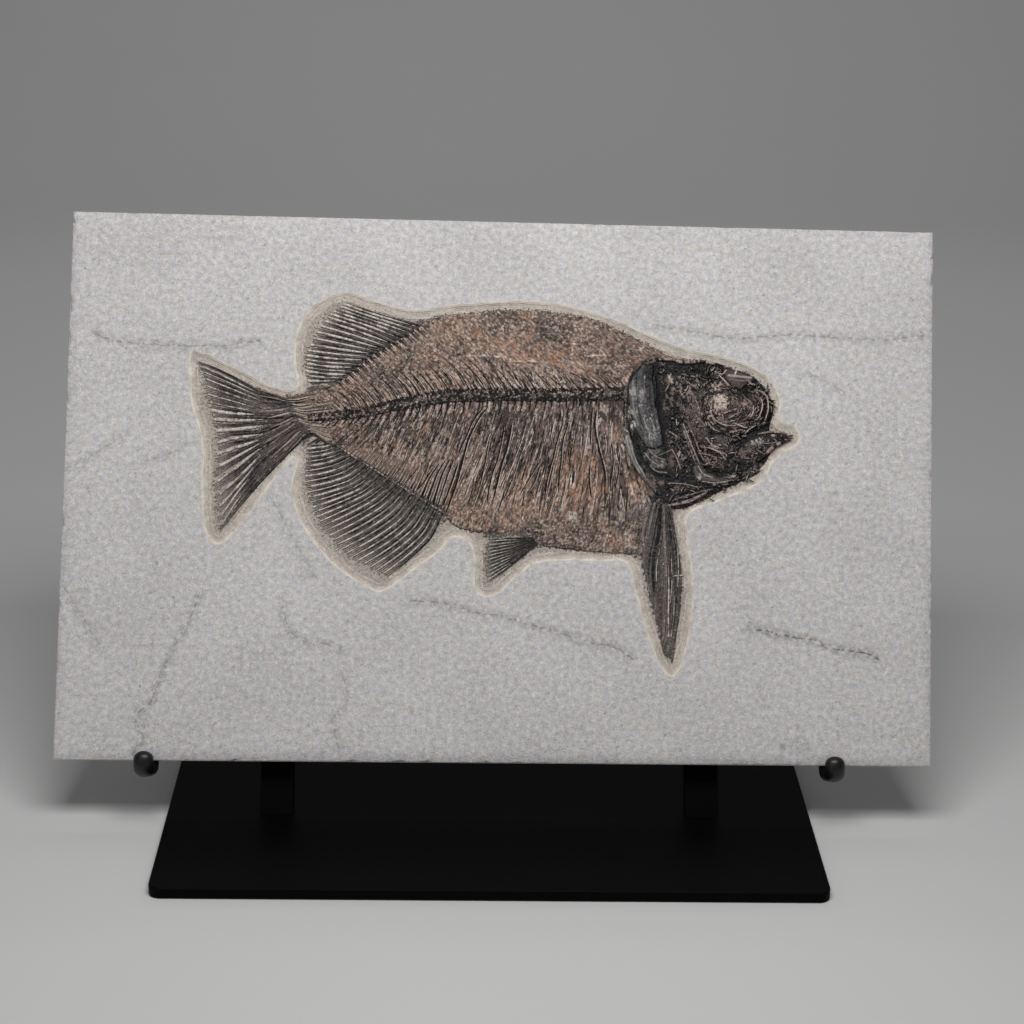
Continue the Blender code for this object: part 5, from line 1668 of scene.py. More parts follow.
HEAD_MARKS = (
    # skull roof and the broken area behind the eye
    Spot(474, 301, 30, 8, -4, 0.1, BLACK, 0.6, 0.8, 3), Spot(468, 277, 14, 13, 0, 0, UMBER, 0.5, 0.9, 3),
    Spot(478, 288, 18, 9, 0, 0, OLIVE, 0.5, 0.9, 3), Spot(468, 262, 8, 8, 0, -0.3, BLACK, 0.7, 0.8, 2.5),
    Spot(462, 293, 4, 4, 0, 0.2, BUFF, 0.6, 0.7, 2),
    Stroke(dots(452, 308, 465, 308, 471, 306, 488, 306.5, 505, 303), 1.8, 0.2, BLACK, 0.9),
    Stroke(dots(453, 301, 455, 302.5, 457.5, 301.5, 457, 298.5, 454, 298, 452.5, 300), 0.8, 0.4, BLACK),
    # gill cover: black at the top and lighter below as painted shade, with pale ash streaks, glints and a
    # buff spot as painted highlights
    Plate(dots(441, 303, 450, 304, 449, 296, 450, 285, 451, 274, 453, 265, 455, 256, 456.5, 248, 457, 242,
        450, 239.5, 444, 240, 440, 247, 437, 252, 434, 257, 433, 265, 431, 275, 430, 287, 434, 295), 1.2,
        SLATE, 0.62, 0.5, 0.8),
    Spot(448, 298, 7, 9, -30, -0.1, BLACK, 0.95, 0.3, 3), Spot(441, 283, 8, 7, 0, 0, DUSK, 0.2, 0.6, 3),
    Spot(434, 283, 3, 3.5, 0, 0.2, BUFF, 0.6, 0.8, 2), Spot(448, 254, 7, 14, 0, 0.1, ASH, 0.35, 0.85, 1.2),
    Spot(438, 276, 7, 16, 10, 0, ASH, 0.35, 0.6, 2.5),
    Stroke(dots(442, 262, 445, 254, 449, 246), 0.5, 0.3, ASH, 0.8, 0.9),
    Stroke(dots(446, 266, 449, 258, 452, 248), 0.4, 0.3, GLINT, 0.4, 0.9),
    Stroke(dots(441, 256, 444, 249, 448, 243), 0.5, 0.3, ASH, 0.8, 0.9),
    Spot(434.5, 257, 2.6, 3.2, 0, 0.3, GLINT, 0.75, 0.8, 1.1), Spot(433, 265, 4, 8, 0, 0, ASH, 0.4, 0.9, 2),
    Spot(447, 286, 5, 12, 0, 0, BLACK, 0.35, 0.5, 3), Spot(446, 270, 5, 7, 0, 0, CHARCOAL, 0.4, 0.8, 2.5),
    Stroke(dots(434, 291, 433.5, 280, 435, 268, 438, 257), 0.5, 0.4, ASH, 0.6),
    Stroke(dots(437, 297, 436.5, 284, 438.5, 268, 442, 254, 447, 244), 0.5, -0.4, BLACK, 0.7),
    Stroke(dots(443, 296, 442.5, 284, 444.5, 270, 448, 256), 0.5, 0.35, SLATE, 0.7),
    Stroke(dots(447, 292, 447, 280, 449, 268, 452, 254), 0.6, -0.4, BLACK, 0.6),
    Stroke(dots(436, 276, 441, 273.5, 447, 274), 0.5, -0.3, BLACK, 0.6),
    Stroke(dots(451, 303, 453, 290, 453.5, 280, 453, 272), 1.5, -1.1, BLACK),
    Stroke(dots(455, 288, 455.5, 280, 455, 271), 2.1, -1.2, BLACK),
    Stroke(dots(453.5, 272, 456, 262, 457, 252, 459, 243, 460, 235), 1.1, -1.1, BLACK),
    Stroke(dots(459, 284, 462, 290, 463, 297), 0.5, 0.3, ASH, 0.7),
    Spot(448, 210, 12, 14, 40, -0.1, UMBER, 0.85, 0.8, 2.5),
    Stroke(dots(430.3, 247, 432.5, 238, 436.5, 228, 442, 218), 0.45, -0.4, BLACK, 0.8),
    # below the gill cover
    Spot(450, 231, 10, 9, -20, 0.2, OLIVE, 0.5, 0.9, 2),
    Stroke(dots(443, 236, 448, 230, 455, 226), 0.4, 0.3, BUFF, 0.7),
    Stroke(dots(446, 239, 452, 233, 459, 231), 0.4, 0.3, ASH, 0.8),
    Stroke(dots(447, 226, 452, 222, 460, 221), 0.4, 0.3, BUFF, 0.7),
    Stroke(dots(457, 239, 460, 232, 461, 224), 0.5, -0.5, BLACK, 0.9),
    Stroke(dots(467, 238, 471, 231, 474, 224), 0.5, -0.5, BLACK, 0.9),
    Stroke(dots(464.5, 238, 468, 231, 470.5, 224), 0.5, 0.3, ASH, 0.8),
    Spot(463.5, 230, 3.4, 7, -15, -0.2, UMBER, 0.9, 0.5, 2), Spot(456, 228, 4, 4, 0, 0.2, ASH, 0.6, 0.6, 2),
    Spot(470, 234, 3, 5, 0, 0.2, BUFF, 0.5, 0.7, 2),
    Stroke(dots(453, 234, 458, 236, 464, 239), 0.4, 0.3, ASH, 0.5),
    Stroke(dots(461, 255, 468, 250, 474, 246), 0.6, -0.4, BLACK, 0.8),
    Stroke(dots(462, 252.5, 468, 248.5), 0.5, 0.4, BUFF, 0.8),
    # ridges of the cheek; the pale ash line along the first ridge is a painted highlight
    Stroke(dots(471, 258, 475, 247, 479, 236, 482, 228), 1, 0.5, CHARCOAL),
    Stroke(dots(472.5, 258, 476.5, 248, 481, 237, 485, 228), 0.6, 0.6, ASH, 0.7),
    Stroke(dots(474.5, 258, 479, 248, 483, 237, 486.5, 229), 0.7, -0.8, BLACK),
    Stroke(dots(477, 257, 481, 248, 485, 237, 489, 229), 0.6, 0.5, SLATE, 0.9),
    Stroke(dots(479, 256, 484, 245, 487, 235, 491, 227), 0.6, -0.7, BLACK),
    Stroke(dots(470, 241, 474, 233, 478, 228), 0.6, -0.7, BLACK),
    Plate(dots(482, 229, 486, 229, 491, 222, 500, 218, 506, 219, 512, 223, 518, 223, 514, 216, 504, 212.5,
        492, 212, 482, 215, 479, 222), 0.6, CHARCOAL, 0.75, 0.5, 0.4),
    Stroke(dots(481, 226, 484, 220, 491, 216.5, 500, 215), 0.5, 0.35, SLATE, 0.9),
    Stroke(dots(484, 226, 488, 220, 495, 217.5), 0.4, 0.3, GLINT, 0.6),
    Stroke(dots(487, 214.5, 496, 213.5, 505, 214.5), 0.4, 0.3, ASH, 0.8),
    Stroke(dots(485.5, 232, 490, 225.5, 496, 222, 505, 221, 512, 223, 518, 226), 1.2, -1, BLACK),
    # pale spot on the grey plate: a painted highlight
    Spot(510, 218.5, 3, 1.6, 25, 0.2, ASH, 0.8, 0.4, 1.5),
    Spot(515, 219, 2, 3, -20, -0.4, BLACK, 0.9, 0.4, 1.5),
    Spot(497, 212.5, 2, 1.2, 0, 0.3, GLINT, 0.7, 0.5, 1),
    Spot(484, 218, 3.6, 3, 0, 0.1, ASH, 0.5, 0.8, 1.6),
    # plates behind and below the eye
    Spot(481, 270, 8, 16, -12, 0.3, SLATE, 0.55, 0.4, 3),
    Spot(485, 255, 8, 11, 20, 0.2, SLATE, 0.5, 0.4, 2.5),
    Stroke(dots(477, 277, 480, 270, 483, 263), 0.5, 0.3, CHARCOAL, 0.8),
    Stroke(dots(481, 279, 484, 272, 485, 266), 0.4, 0.3, ASH, 0.8),
    Spot(489, 262, 2.6, 8, -18, -0.6, BLACK, 0.85, 0.3, 3),
    Stroke(dots(488, 279, 486.8, 270, 489, 261, 494, 255, 500, 251.5), 0.9, -0.8, BLACK),
    Stroke(dots(491, 281, 489.5, 271, 491.5, 262, 496, 257), 0.7, 0.8, CHARCOAL),
    Stroke(dots(491, 260, 495, 255, 500, 253), 0.5, 0.5, ASH, 0.8),
    Spot(503, 245, 10, 9, 20, 0.2, SLATE, 0.55, 0.4, 2.5),
    Stroke(dots(492, 251.5, 502, 251, 512, 250.5, 522, 252), 0.9, -0.8, BLACK),
    Spot(520, 248, 13, 4.2, 12, -0.3, BLACK, 0.95, 0.5, 3),
    Spot(528, 253, 7, 4.5, 20, -0.3, BLACK, 0.9, 0.5, 3),
    # eye and the bones in front of it
    Spot(508, 268, 22, 16, 0, 0, OLIVE, 0.5, 0.6, 4), Spot(505, 286, 10, 5, -15, 0, UMBER, 0.3, 0.8, 1.5),
    Spot(510, 262, 14, 6, 10, 0, UMBER, 0.45, 0.9, 2.5),
    Spot(500, 275.5, 8, 6.5, 20, -0.3, BUFF, 0.7, 0.5, 1.5),
    Spot(501.5, 278, 5.5, 4.2, 0, 0.1, PALE, 0.8, 0.9, 1),
    Spot(496, 271, 3.5, 2.4, -40, 0.1, PALE, 0.7, 0.9, 1),
    Spot(505, 273, 3, 2.2, 0, 0.1, PALE, 0.6, 0.9, 1),
    Spot(498.5, 274.5, 1, 0.8, 0, -0.3, BLACK, 0.95, 0.4, 1),
    Spot(502.5, 275.2, 1.6, 0.7, 10, -0.3, BLACK, 0.95, 0.4, 1),
    Spot(504, 279.5, 0.8, 0.8, 0, -0.3, BLACK, 0.9, 0.4, 1),
    Spot(496, 276, 0.8, 1.4, 20, -0.3, BLACK, 0.9, 0.4, 1),
    Stroke(dots(488.5, 264, 496, 265, 503, 267, 509, 269), 1.5, 0.3, BLACK),
    Stroke(dots(508, 269, 516, 271.5, 524, 276), 0.8, 0.3, CHARCOAL, 0.8),
    Stroke(dots(505, 262, 511, 265.5, 517, 268.5), 0.6, 0.3, SLATE, 0.8),
    Spot(521, 275, 4, 4, 0, 0.2, BROWN, 0.8, 0.5, 2), Spot(529, 281, 4.5, 4.5, 0, 0.3, OLIVE, 0.7, 0.4, 3),
    Spot(499, 288, 5, 4, 30, 0.1, BUFF, 0.5, 0.8, 1.6),
    # nasal plate
    Plate(dots(502, 302.5, 513, 301.5, 522, 297.5, 528, 293.5, 522, 290, 516, 285, 511, 287, 505, 293), 0.9,
        CHARCOAL, 0.85, 0.8, 0.2),
    Stroke(dots(504, 302.5, 514, 301, 523, 297, 528.5, 293.5), 1.7, 0.2, BLACK),
    Stroke(dots(507, 296, 514, 295.5, 524, 294.5), 0.9, 0.3, ASH, 0.8),
    Stroke(dots(508, 293, 515, 292, 522, 292.5), 0.6, 0.3, SLATE, 0.8),
    Stroke(dots(513, 300, 512, 297), 0.6, 0.3, PALE, 0.8),
    Stroke(dots(500, 296, 503, 293, 507, 289), 0.6, 0.4, PALE, 0.8),
    Stroke(dots(497, 299, 502, 297, 505, 300), 0.5, 0.4, BUFF, 0.8),
    # arcs of the eye socket and the snout
    Stroke(dots(489.7, 272, 491, 264, 495, 258.5, 502.5, 254.8, 510.5, 253, 518, 254.5), 1.1, 0.2, BLACK),
    Stroke(dots(493, 272, 494.5, 265, 499, 260, 506, 257), 0.5, 0.5, BUFF, 0.8),
    Stroke(dots(496, 262, 503, 258.5, 511, 257.5, 519, 260), 0.5, 0.5, ASH, 0.8),
    Stroke(dots(524, 286.5, 530, 288, 536, 285.5, 540, 278, 540.5, 270, 538.5, 262), 1.5, 0.3, BLACK),
    Stroke(dots(529, 285, 534, 283, 537, 277, 537.3, 270, 535, 262), 0.6, 0.5, BUFF, 0.8),
    Stroke(dots(530, 283.5, 533.5, 280, 535.3, 274, 534, 267), 0.7, -0.5, BLACK, 0.9),
    Stroke(dots(532, 279, 533, 273, 531, 266, 528, 262), 0.6, 0.5, BUFF, 0.8),
    Stroke(dots(529, 274, 529.5, 269, 527, 264, 523, 261), 0.6, -0.5, BLACK, 0.8),
    Stroke(dots(526, 273, 526, 268, 523, 264), 0.5, 0.4, BUFF, 0.8),
    Stroke(dots(522, 272, 522.5, 267, 519, 264), 0.5, -0.4, BLACK, 0.8),
    Stroke(dots(512, 259.5, 517, 257, 521, 256), 0.6, 0.4, PALE, 0.8),
    Stroke(dots(519, 251, 523, 255, 528, 258), 0.6, 0.4, BUFF, 0.8),
    # upper jaw
    Stroke(dots(486, 241, 493, 240, 500, 237, 505, 231.5), 0.6, 0.5, BUFF, 0.9),
    Stroke(dots(485, 239.3, 492, 238.4, 498, 236), 0.6, -0.5, BLACK, 0.9),
    Stroke(dots(484, 236, 491, 235, 497, 233), 0.5, 0.5, RUST, 0.8),
    Stroke(dots(490, 248, 494, 243, 500, 240.5), 0.6, 0.3, BUFF, 0.7),
    Spot(495, 230, 7, 4, 0, 0.1, OLIVE, 0.6, 0.9, 2), Spot(507, 234, 5, 4, 0, 0.1, SLATE, 0.5, 0.8, 2),
    Spot(503, 228, 8, 3.5, 8, 0.1, UMBER, 0.5, 0.9, 2),
    # lower jaw
    Spot(527, 244, 9, 4, 25, 0.1, ASH, 0.55, 0.8, 2), Spot(521, 234, 8, 7, 20, 0, UMBER, 0.5, 0.9, 2.5),
    Stroke(dots(530, 251.5, 540, 253, 549, 252, 553, 249.5), 1, 0.2, UMBER, 0.9),
    Stroke(dots(553.5, 247.5, 547, 245, 540, 240.5, 534, 234.5, 529, 231), 1.9, 0.3, BLACK),
    Stroke(dots(542, 243.5, 537, 238.5, 533, 235), 0.5, 0.3, SLATE, 0.8),
    Spot(541.5, 250.3, 2.2, 1, -10, 0.2, PALE, 0.9, 0.3, 1.2),
    Stroke(dots(551, 252, 550.3, 248.5), 0.7, 0.3, BLACK),
    # throat
    Plate(dots(517, 222.5, 526, 225.5, 532, 223.5, 526, 219.5, 518, 215), 0.5, CHARCOAL, 0.7, 0.4, 0.3),
    Spot(530, 226, 5, 3.6, 30, 0, UMBER, 0.7, 0.7, 2), Spot(458, 206, 8, 7, 0, 0, BLACK, 0.6, 0.8, 2.5),
    Spot(467, 208, 6, 3.5, 10, 0.1, UMBER, 0.7, 0.7, 2),
    Stroke(dots(461, 196, 470, 197.5, 480, 201, 490, 206), 1.6, 0.1, CHARCOAL, 0.9),
    Stroke(dots(465, 200, 476, 203.5, 486, 206.5, 495, 209), 0.7, 0.5, SLATE, 0.9),
    Stroke(dots(465, 198, 476, 201, 488, 206), 0.5, -0.5, BLACK, 0.9),
    Stroke(dots(466, 203.5, 477, 206, 488, 209), 0.6, -0.4, BLACK, 0.9),
    Stroke(dots(467, 196.5, 476, 198.5, 484, 202), 0.5, 0.4, ASH, 0.8),
    Stroke(dots(452, 217, 462, 215.5, 475, 213.5, 487, 210.5, 500, 210, 508, 212.5), 1.3, -0.5, BLACK),
    Stroke(dots(462, 213, 472, 212.5, 484, 210), 0.5, 0.4, ASH, 0.8),
    Stroke(dots(436, 247, 437.2, 240, 440.5, 232, 445.5, 225, 452, 219, 462, 216), 1.8, -1.2, BLACK),
)


# Smooth bones of the head, which carry no splinters.
SMOOTH_BONES: tuple[Line, ...] = (
    dots(478, 263, 480, 275, 484, 277, 485, 266),
    dots(494, 273, 496, 280, 502, 283, 507, 279, 506, 274, 500, 271),
    dots(498, 241, 500, 248, 507, 249, 508, 243),
    dots(482, 229, 488, 227, 493, 221, 503, 217, 512, 221, 504, 213, 490, 212, 481, 216),
    dots(502, 302, 513, 301.5, 522, 297.5, 528, 293.5, 522, 290, 516, 285, 505, 293),
)


@dataclass(frozen=True)
class BoneSheet:
    """One modelled bone or group of bones of the head."""

    name: str
    node: str
    patch: Patch
    columns: int
    rows: int
    dome: float
    base: float
    rubble: float
    tint: Tint
    spread: tuple[float, float, float, float] = (0.0, 1.0, 0.0, 1.0)

    def relief(self, grain: Grain) -> Relief:
        """Heights and tints of the bone.

        Args:
            grain: patterns for its broken surface.

        Returns:
            The relief over the sheet's grid.
        """
        start, end, low, high = self.spread
        a, b = np.meshgrid(np.linspace(start, end, self.columns + 1),
            np.linspace(low, high, self.rows + 1), indexing="ij")
        uv = self.patch.at(a, b)
        wave = np.stack([grain.cloud(uv[..., 0], uv[..., 1], 3.0),
            grain.cloud(uv[..., 1] + 90.0, uv[..., 0], 3.0)], axis=-1)
        relief = Relief(uv + 1.0 * (wave - 0.5))
        u, v = relief.uv.T
        lift = np.sin(np.pi * np.clip(a, 0, 1)) * np.sin(np.pi * np.clip(b, 0, 1))
        relief.height[:] = self.base + self.dome * lift.ravel() ** 0.35
        relief.tint[:] = self.tint.value
        if self.rubble > 0.0:
            self.crush(relief, grain, u, v)
        for mark in HEAD_MARKS:
            mark.draw(relief, grain)
        outside = np.maximum(np.maximum(-a, a - 1.0), np.maximum(-b, b - 1.0)).ravel()
        relief.height -= 1.6 * rise(outside, 0.0, 0.02)
        relief.tint[outside > 0.005] = BLACK.value
        relief.height = np.clip(relief.height, -1.35, 2.2)
        return relief

    @staticmethod
    def clumps(grain: Grain, u: Array | float, v: Array | float) -> Array:
        """How dark and smooth the crushed bone is at a place, from 0 to 1."""
        return grain.cloud(u + 12.0, v - 31.0, 11.0, 2)

    def crush(self, relief: Relief, grain: Grain, u: Array, v: Array) -> None:
        """Break the surface into small tilted pieces of different tints, lightening the raised ones as a
        painted highlight.

        Args:
            relief: relief to work on.
            grain: patterns of the breaks.
            u: places along the face in mm.
            v: places up it in mm.
        """
        value = np.zeros(len(u))
        seam = np.zeros(len(u))
        for size, share in ((9.0, 0.5), (4.6, 0.7), (2.4, 0.7), (1.5, 0.4)):
            warp = 2.2 * (grain.cloud(v, u, 3.0) - 0.5)
            flow = 10.0 * grain.cloud(u, v, 18.0)
            along = (u + warp) * np.cos(flow) + (v - warp) * np.sin(flow)
            over = (v - warp) * np.cos(flow) - (u + warp) * np.sin(flow)
            crack, piece = grain.cells(0.4 * along, 0.8 * over, size)
            value += share * (piece - 0.5)
            seam = np.maximum(seam, share * 1.3 * np.exp(-(crack / (0.12 * size)) ** 2))
            if size > 8.0:
                family = piece
        relief.height += self.rubble * (1.3 * value - 0.8 * seam)
        # Pieces that stand higher are drawn lighter, and the highest paler: a painted highlight on top of
        # each piece's own tone.
        raised_highlight = rise(value, -0.02, 0.3)
        broad = rise(self.clumps(grain, u, v), 0.5, 0.62)
        stain = relief.tint[:, 0]
        relief.tint[:, 0] = np.clip(stain + 0.5 - 1.1 * raised_highlight + 0.9 * seam + 0.4 * broad, 0, 1)
        relief.tint[:, 1] = 0.7 * rise(value, 0.3, 0.6) * (seam < 0.4) * (1.0 - 0.8 * broad)
        relief.tint[:, 2] = 0.6 * ((family > 0.2) & (family < 0.42))
        relief.tint[:, 3] = 0.8 * (family > 0.74)


@dataclass
class Head:
    """Crushed bones of the head, the gill cover and the shoulder."""

    plane: FacePlane
    seat: float = -1.5
    eye: tuple[float, float] = (509.0, 271.0)
    socket: float = 25.0
    grain: Grain = field(default_factory=lambda: Grain(47))
    sheets: tuple[BoneSheet, ...] = (BoneSheet("head_bedding", "skull", HEAD_BED, 164, 156, 0.3, -0.75,
        0.8, BLACK), BoneSheet("skull_bones", "skull", SKULL, 200, 210, 1.0, -0.2, 1.0, DUSK,
        (-0.03, 1.0, -0.03, 1.0)), BoneSheet("lower_jaw_bone", "lower_jaw", JAW, 110, 44, 1.5, -0.5, 0.7,
        DUSK, (-0.08, 1.0, 0.0, 1.0)), BoneSheet("throat_bones", "throat_rays", THROAT, 170, 52, 0.7,
        -0.3, 0.7, DUSK, (-0.04, 1.0, 0.0, 1.05)), BoneSheet("gill_cover_bones", "gill_cover", GILL, 200,
        66, 1.0, -0.2, 0.55, CHARCOAL), BoneSheet("shoulder_girdle", "shoulder_bone", SHOULDER, 110, 14,
        1.7, -0.5, 0.0, ASH), )

    def build(self, finishes: Finishes) -> None:
        """Make every bone of the head and the splinters that lie on them."""
        looks = {"gill_cover": ("grey_bone", finishes.gill), "shoulder_bone": ("pale_bone",
            finishes.gill)}
        for sheet in self.sheets:
            relief = sheet.relief(self.grain)
            piece = relief_sheet(sheet.name, relief, self.seat, self.plane)
            slot, material = looks.get(sheet.node, ("dark_bone", finishes.head))
            settle(piece, (sheet.node,), slot, material)
        for name, node, patch, count in (("skull_splinters", "skull", SKULL, 1050),
                                         ("jaw_splinters", "lower_jaw", JAW, 90),
                                         ("throat_splinters", "throat_rays", THROAT, 190)):
            bundle = StrandBundle(0.3)
            self.splinters(bundle, patch, count)
            self.ridges(bundle, patch)
            settle(bundle.piece(name, self.plane), (node,), "dark_bone", finishes.head)

    def ridges(self, bundle: StrandBundle, patch: Patch) -> None:
        """Add the clear raised edges of the bones as slivers of their own."""
        border = patch.border()
        for mark in HEAD_MARKS:
            if not isinstance(mark, Stroke) or mark.lift <= 0.0:
                continue
            line = smooth_line(mark.points, 1.0)
            if not inside_outline(line[len(line) // 2][None], border)[0]:
                continue
            t = shares(len(line))
            taper = np.sqrt(np.sin(np.pi * (0.06 + 0.88 * t)))
            worn = 0.2 + 0.8 * rise(self.grain.over(line, 2.5), 0.4, 0.58)
            fade = np.outer(worn, mark.tint.value)
            bundle.add(line, 0.7 * mark.half * taper, 1.0, 0.5 * taper, fade)

    def splinters(self, bundle: StrandBundle, patch: Patch, count: int) -> None:
        """Add short curved slivers of broken bone, each with a painted shadow strand beside it.

        Args:
            bundle: bundle that takes them.
            patch: stretch of the head that they lie on.
            count: how many.
        """
        draw = np.random.default_rng(71).random
        t = shares(6)
        shades = (DUSK, OLIVE, UMBER, ASH, SLATE, CHARCOAL, BUFF)
        for _ in range(count):
            a, b = 0.02 + 0.94 * draw(2)
            start = patch.point(a, b)
            if any(inside_outline(start[None], np.asarray(smooth))[0] for smooth in SMOOTH_BONES):
                continue
            if BoneSheet.clumps(self.grain, start[0], start[1]) > 0.45 + 0.3 * draw():
                continue
            lean = 360.0 * self.grain.cloud(start[0], start[1], 14.0) * 2.2
            spoke = start - self.eye
            if np.hypot(*spoke) < self.socket:
                lean = math.degrees(math.atan2(spoke[0], -spoke[1]))
            lean += 90.0 * (draw() - 0.5)
            bend = 90.0 * (draw() - 0.5)
            size = 1.6 + 7.0 * draw() ** 4
            turn = np.radians(lean + bend * t)
            steps = np.column_stack([np.cos(turn), np.sin(turn)]) * size / len(t)
            line = start + np.cumsum(steps, axis=0)
            shade = shades[int(draw() * len(shades))]
            half = (0.2 + 0.26 * draw()) * np.sin(np.pi * (0.12 + 0.76 * t))
            rest = 0.75 + 0.45 * draw()
            # Black strand offset down and right of the sliver: a painted shadow.
            bundle.add(line + (0.45, -0.6), 1.5 * half, rest - 0.2, 0.3, BLACK.value)
            # Six in ten also get the sliver itself; its paler tints partly paint in light caught by bone
            # edges.
            if draw() < 0.6:
                fade = np.array(shade.value) * (0.6 + 0.4 * draw())
                bundle.add(line, half, rest, 0.5, fade)


# --- fish: fins -----------------------------------------------------------------------

@dataclass(frozen=True)
class Ray:
    """One fin ray, which may split towards its tip."""

    points: Line
    root: float
    middle: float
    tip: float
    branches: int = 2
    tint: Tint = CHARCOAL
    fade: float = 0.75

    def lay(self, bundle: StrandBundle, grain: Grain, mark: int) -> None:
        """Add the ray's branches to a bundle.

        Args:
            bundle: bundle that takes the strands.
            grain: patterns for the ray's joints and wobble.
            mark: number of the ray, which makes it different from its neighbours.
        """
        line = smooth_line(self.points, 1.2)
        t = shares(len(line))
        half = np.interp(t, (0.0, 0.5, 1.0), (self.root, self.middle, self.tip))
        split = rise(t, 0.25, 0.7)
        across = sideways(line)
        reach = np.linspace(0.0, np.linalg.norm(np.diff(line, axis=0), axis=1).sum(), len(line))
        for branch in range(self.branches):
            side = (2.0 * branch + 1.0) / self.branches - 1.0
            wobble = 0.5 * (grain.cloud(reach, reach * 0 + 9.0 * mark + branch, 9.0) - 0.5)
            offset = side * half * (0.5 + 0.5 * split) + wobble
            share = (0.8 - (0.8 - 0.72 / self.branches) * split) if self.branches > 1 else 1.0
            joint = grain.cloud(reach * 1.7, reach * 0 + 5.3 * mark + branch, 2.0)
            width = half * share * (0.9 + 0.5 * (joint - 0.5))
            crown = (0.8 - 0.4 * t) * (0.6 + 0.8 * joint)
            strength = (1.0 - self.fade * rise(t, 0.72, 1.0)) * (0.6 + 0.7
                * rise(joint, 0.35, 0.6)) * (1.0 if (branch + mark) % 2 else 0.5)
            tint = np.outer(strength, self.tint.value)
            tint[:, 1] += 0.5 * self.fade * rise(t, 0.75, 1.0)
            base = np.interp(t, (0.0, 0.06, 0.16, 1.0), (0.25, 0.1, -1.15, -1.3))
            end = len(line) - int(4.0 * self.fade * grain.table[mark % 256, branch])
            keep = slice(0, end)
            bundle.add(line[keep] + across[keep] * offset[keep, None], width[keep], base[keep],
                crown[keep], tint[keep])


def fan(patch: Patch, count: int, cover: tuple[float, float, float], fade: float = 0.8,
        reach: float = -0.05) -> tuple[Ray, ...]:
    """Rays spread evenly over a fin.

    Args:
        patch: outline of the fin.
        count: number of rays.
        cover: share of the pitch that a ray covers at root, middle and tip.
        fade: how far the tips fade.
        reach: share of the ray at which it starts, below 0 inside the body.

    Returns:
        The rays.
    """
    rays = []
    b = np.concatenate([[reach], np.linspace(0.15, 1.0, 6)])
    for k in range(count):
        a = (k + 0.5) / count
        line = patch.at(np.full(7, a), b)
        width = np.linalg.norm(patch.at(np.full(7, a + 0.5 / count), b) - line, axis=1)
        rays.append(Ray(tuple(map(tuple, line)), width[0] * cover[0], width[3] * cover[1], width[6]
            * cover[2], 2, CHARCOAL, fade))
    return tuple(rays)


def gaps(patch: Patch, count: int, start: float, half: float) -> tuple[tuple[float, Line], ...]:
    """Pale slits between evenly spread rays.

    Args:
        patch: outline of the fin.
        count: number of rays.
        start: share of the ray at which the slits open.
        half: half width in mm at the tip.

    Returns:
        Half width and line of each slit.
    """
    slits = []
    for k in range(1, count):
        shift = 0.05 * math.sin(7.7 * k) + start * (1.0 - abs(2.0 * k / count - 1.0)) * 0.3
        b = np.linspace(start + shift, 0.97, 5)
        line = patch.at(np.full(5, k / count), b)
        slits.append((half * (0.75 + 0.25 * math.sin(3.1 * k)), tuple(map(tuple, line))))
    return tuple(slits)


TAIL_SLITS: tuple[tuple[float, Line], ...] = (
    (0.5, dots(150, 278.2, 125, 290, 106, 298.5)), (0.45, dots(150, 275.8, 125, 287, 107, 294.5)),
    (0.5, dots(150, 273.2, 125, 283, 108, 289.5)), (0.5, dots(148, 270.8, 125, 278.5, 109, 284)),
    (0.5, dots(146, 267.8, 125, 273.5, 110, 277.5)), (0.5, dots(144, 265.2, 125, 268.5, 111, 271.5)),
    (1.15, dots(146, 262.4, 130, 262.9, 113, 265.2)), (1.1, dots(152, 258.6, 132, 257.4, 115, 258.4)),
    (1.2, dots(150, 253, 130, 250.6, 117, 249.6)), (1.1, dots(150, 247, 131, 243.8, 118, 240.4)),
    (1.15, dots(149, 242.6, 132, 236.6, 118, 231.6)), (0.95, dots(150, 240, 133, 230, 118, 221.2)),
    (0.9, dots(150, 236, 135, 223.5, 119, 211)), (0.9, dots(151, 231.5, 137, 216.5, 121, 201)),
    (0.75, dots(146, 222, 134, 207, 121, 192)), (0.7, dots(142, 213, 133, 201, 122, 184.5)),
    (0.5, dots(140, 205, 131, 192, 123, 178)),
)


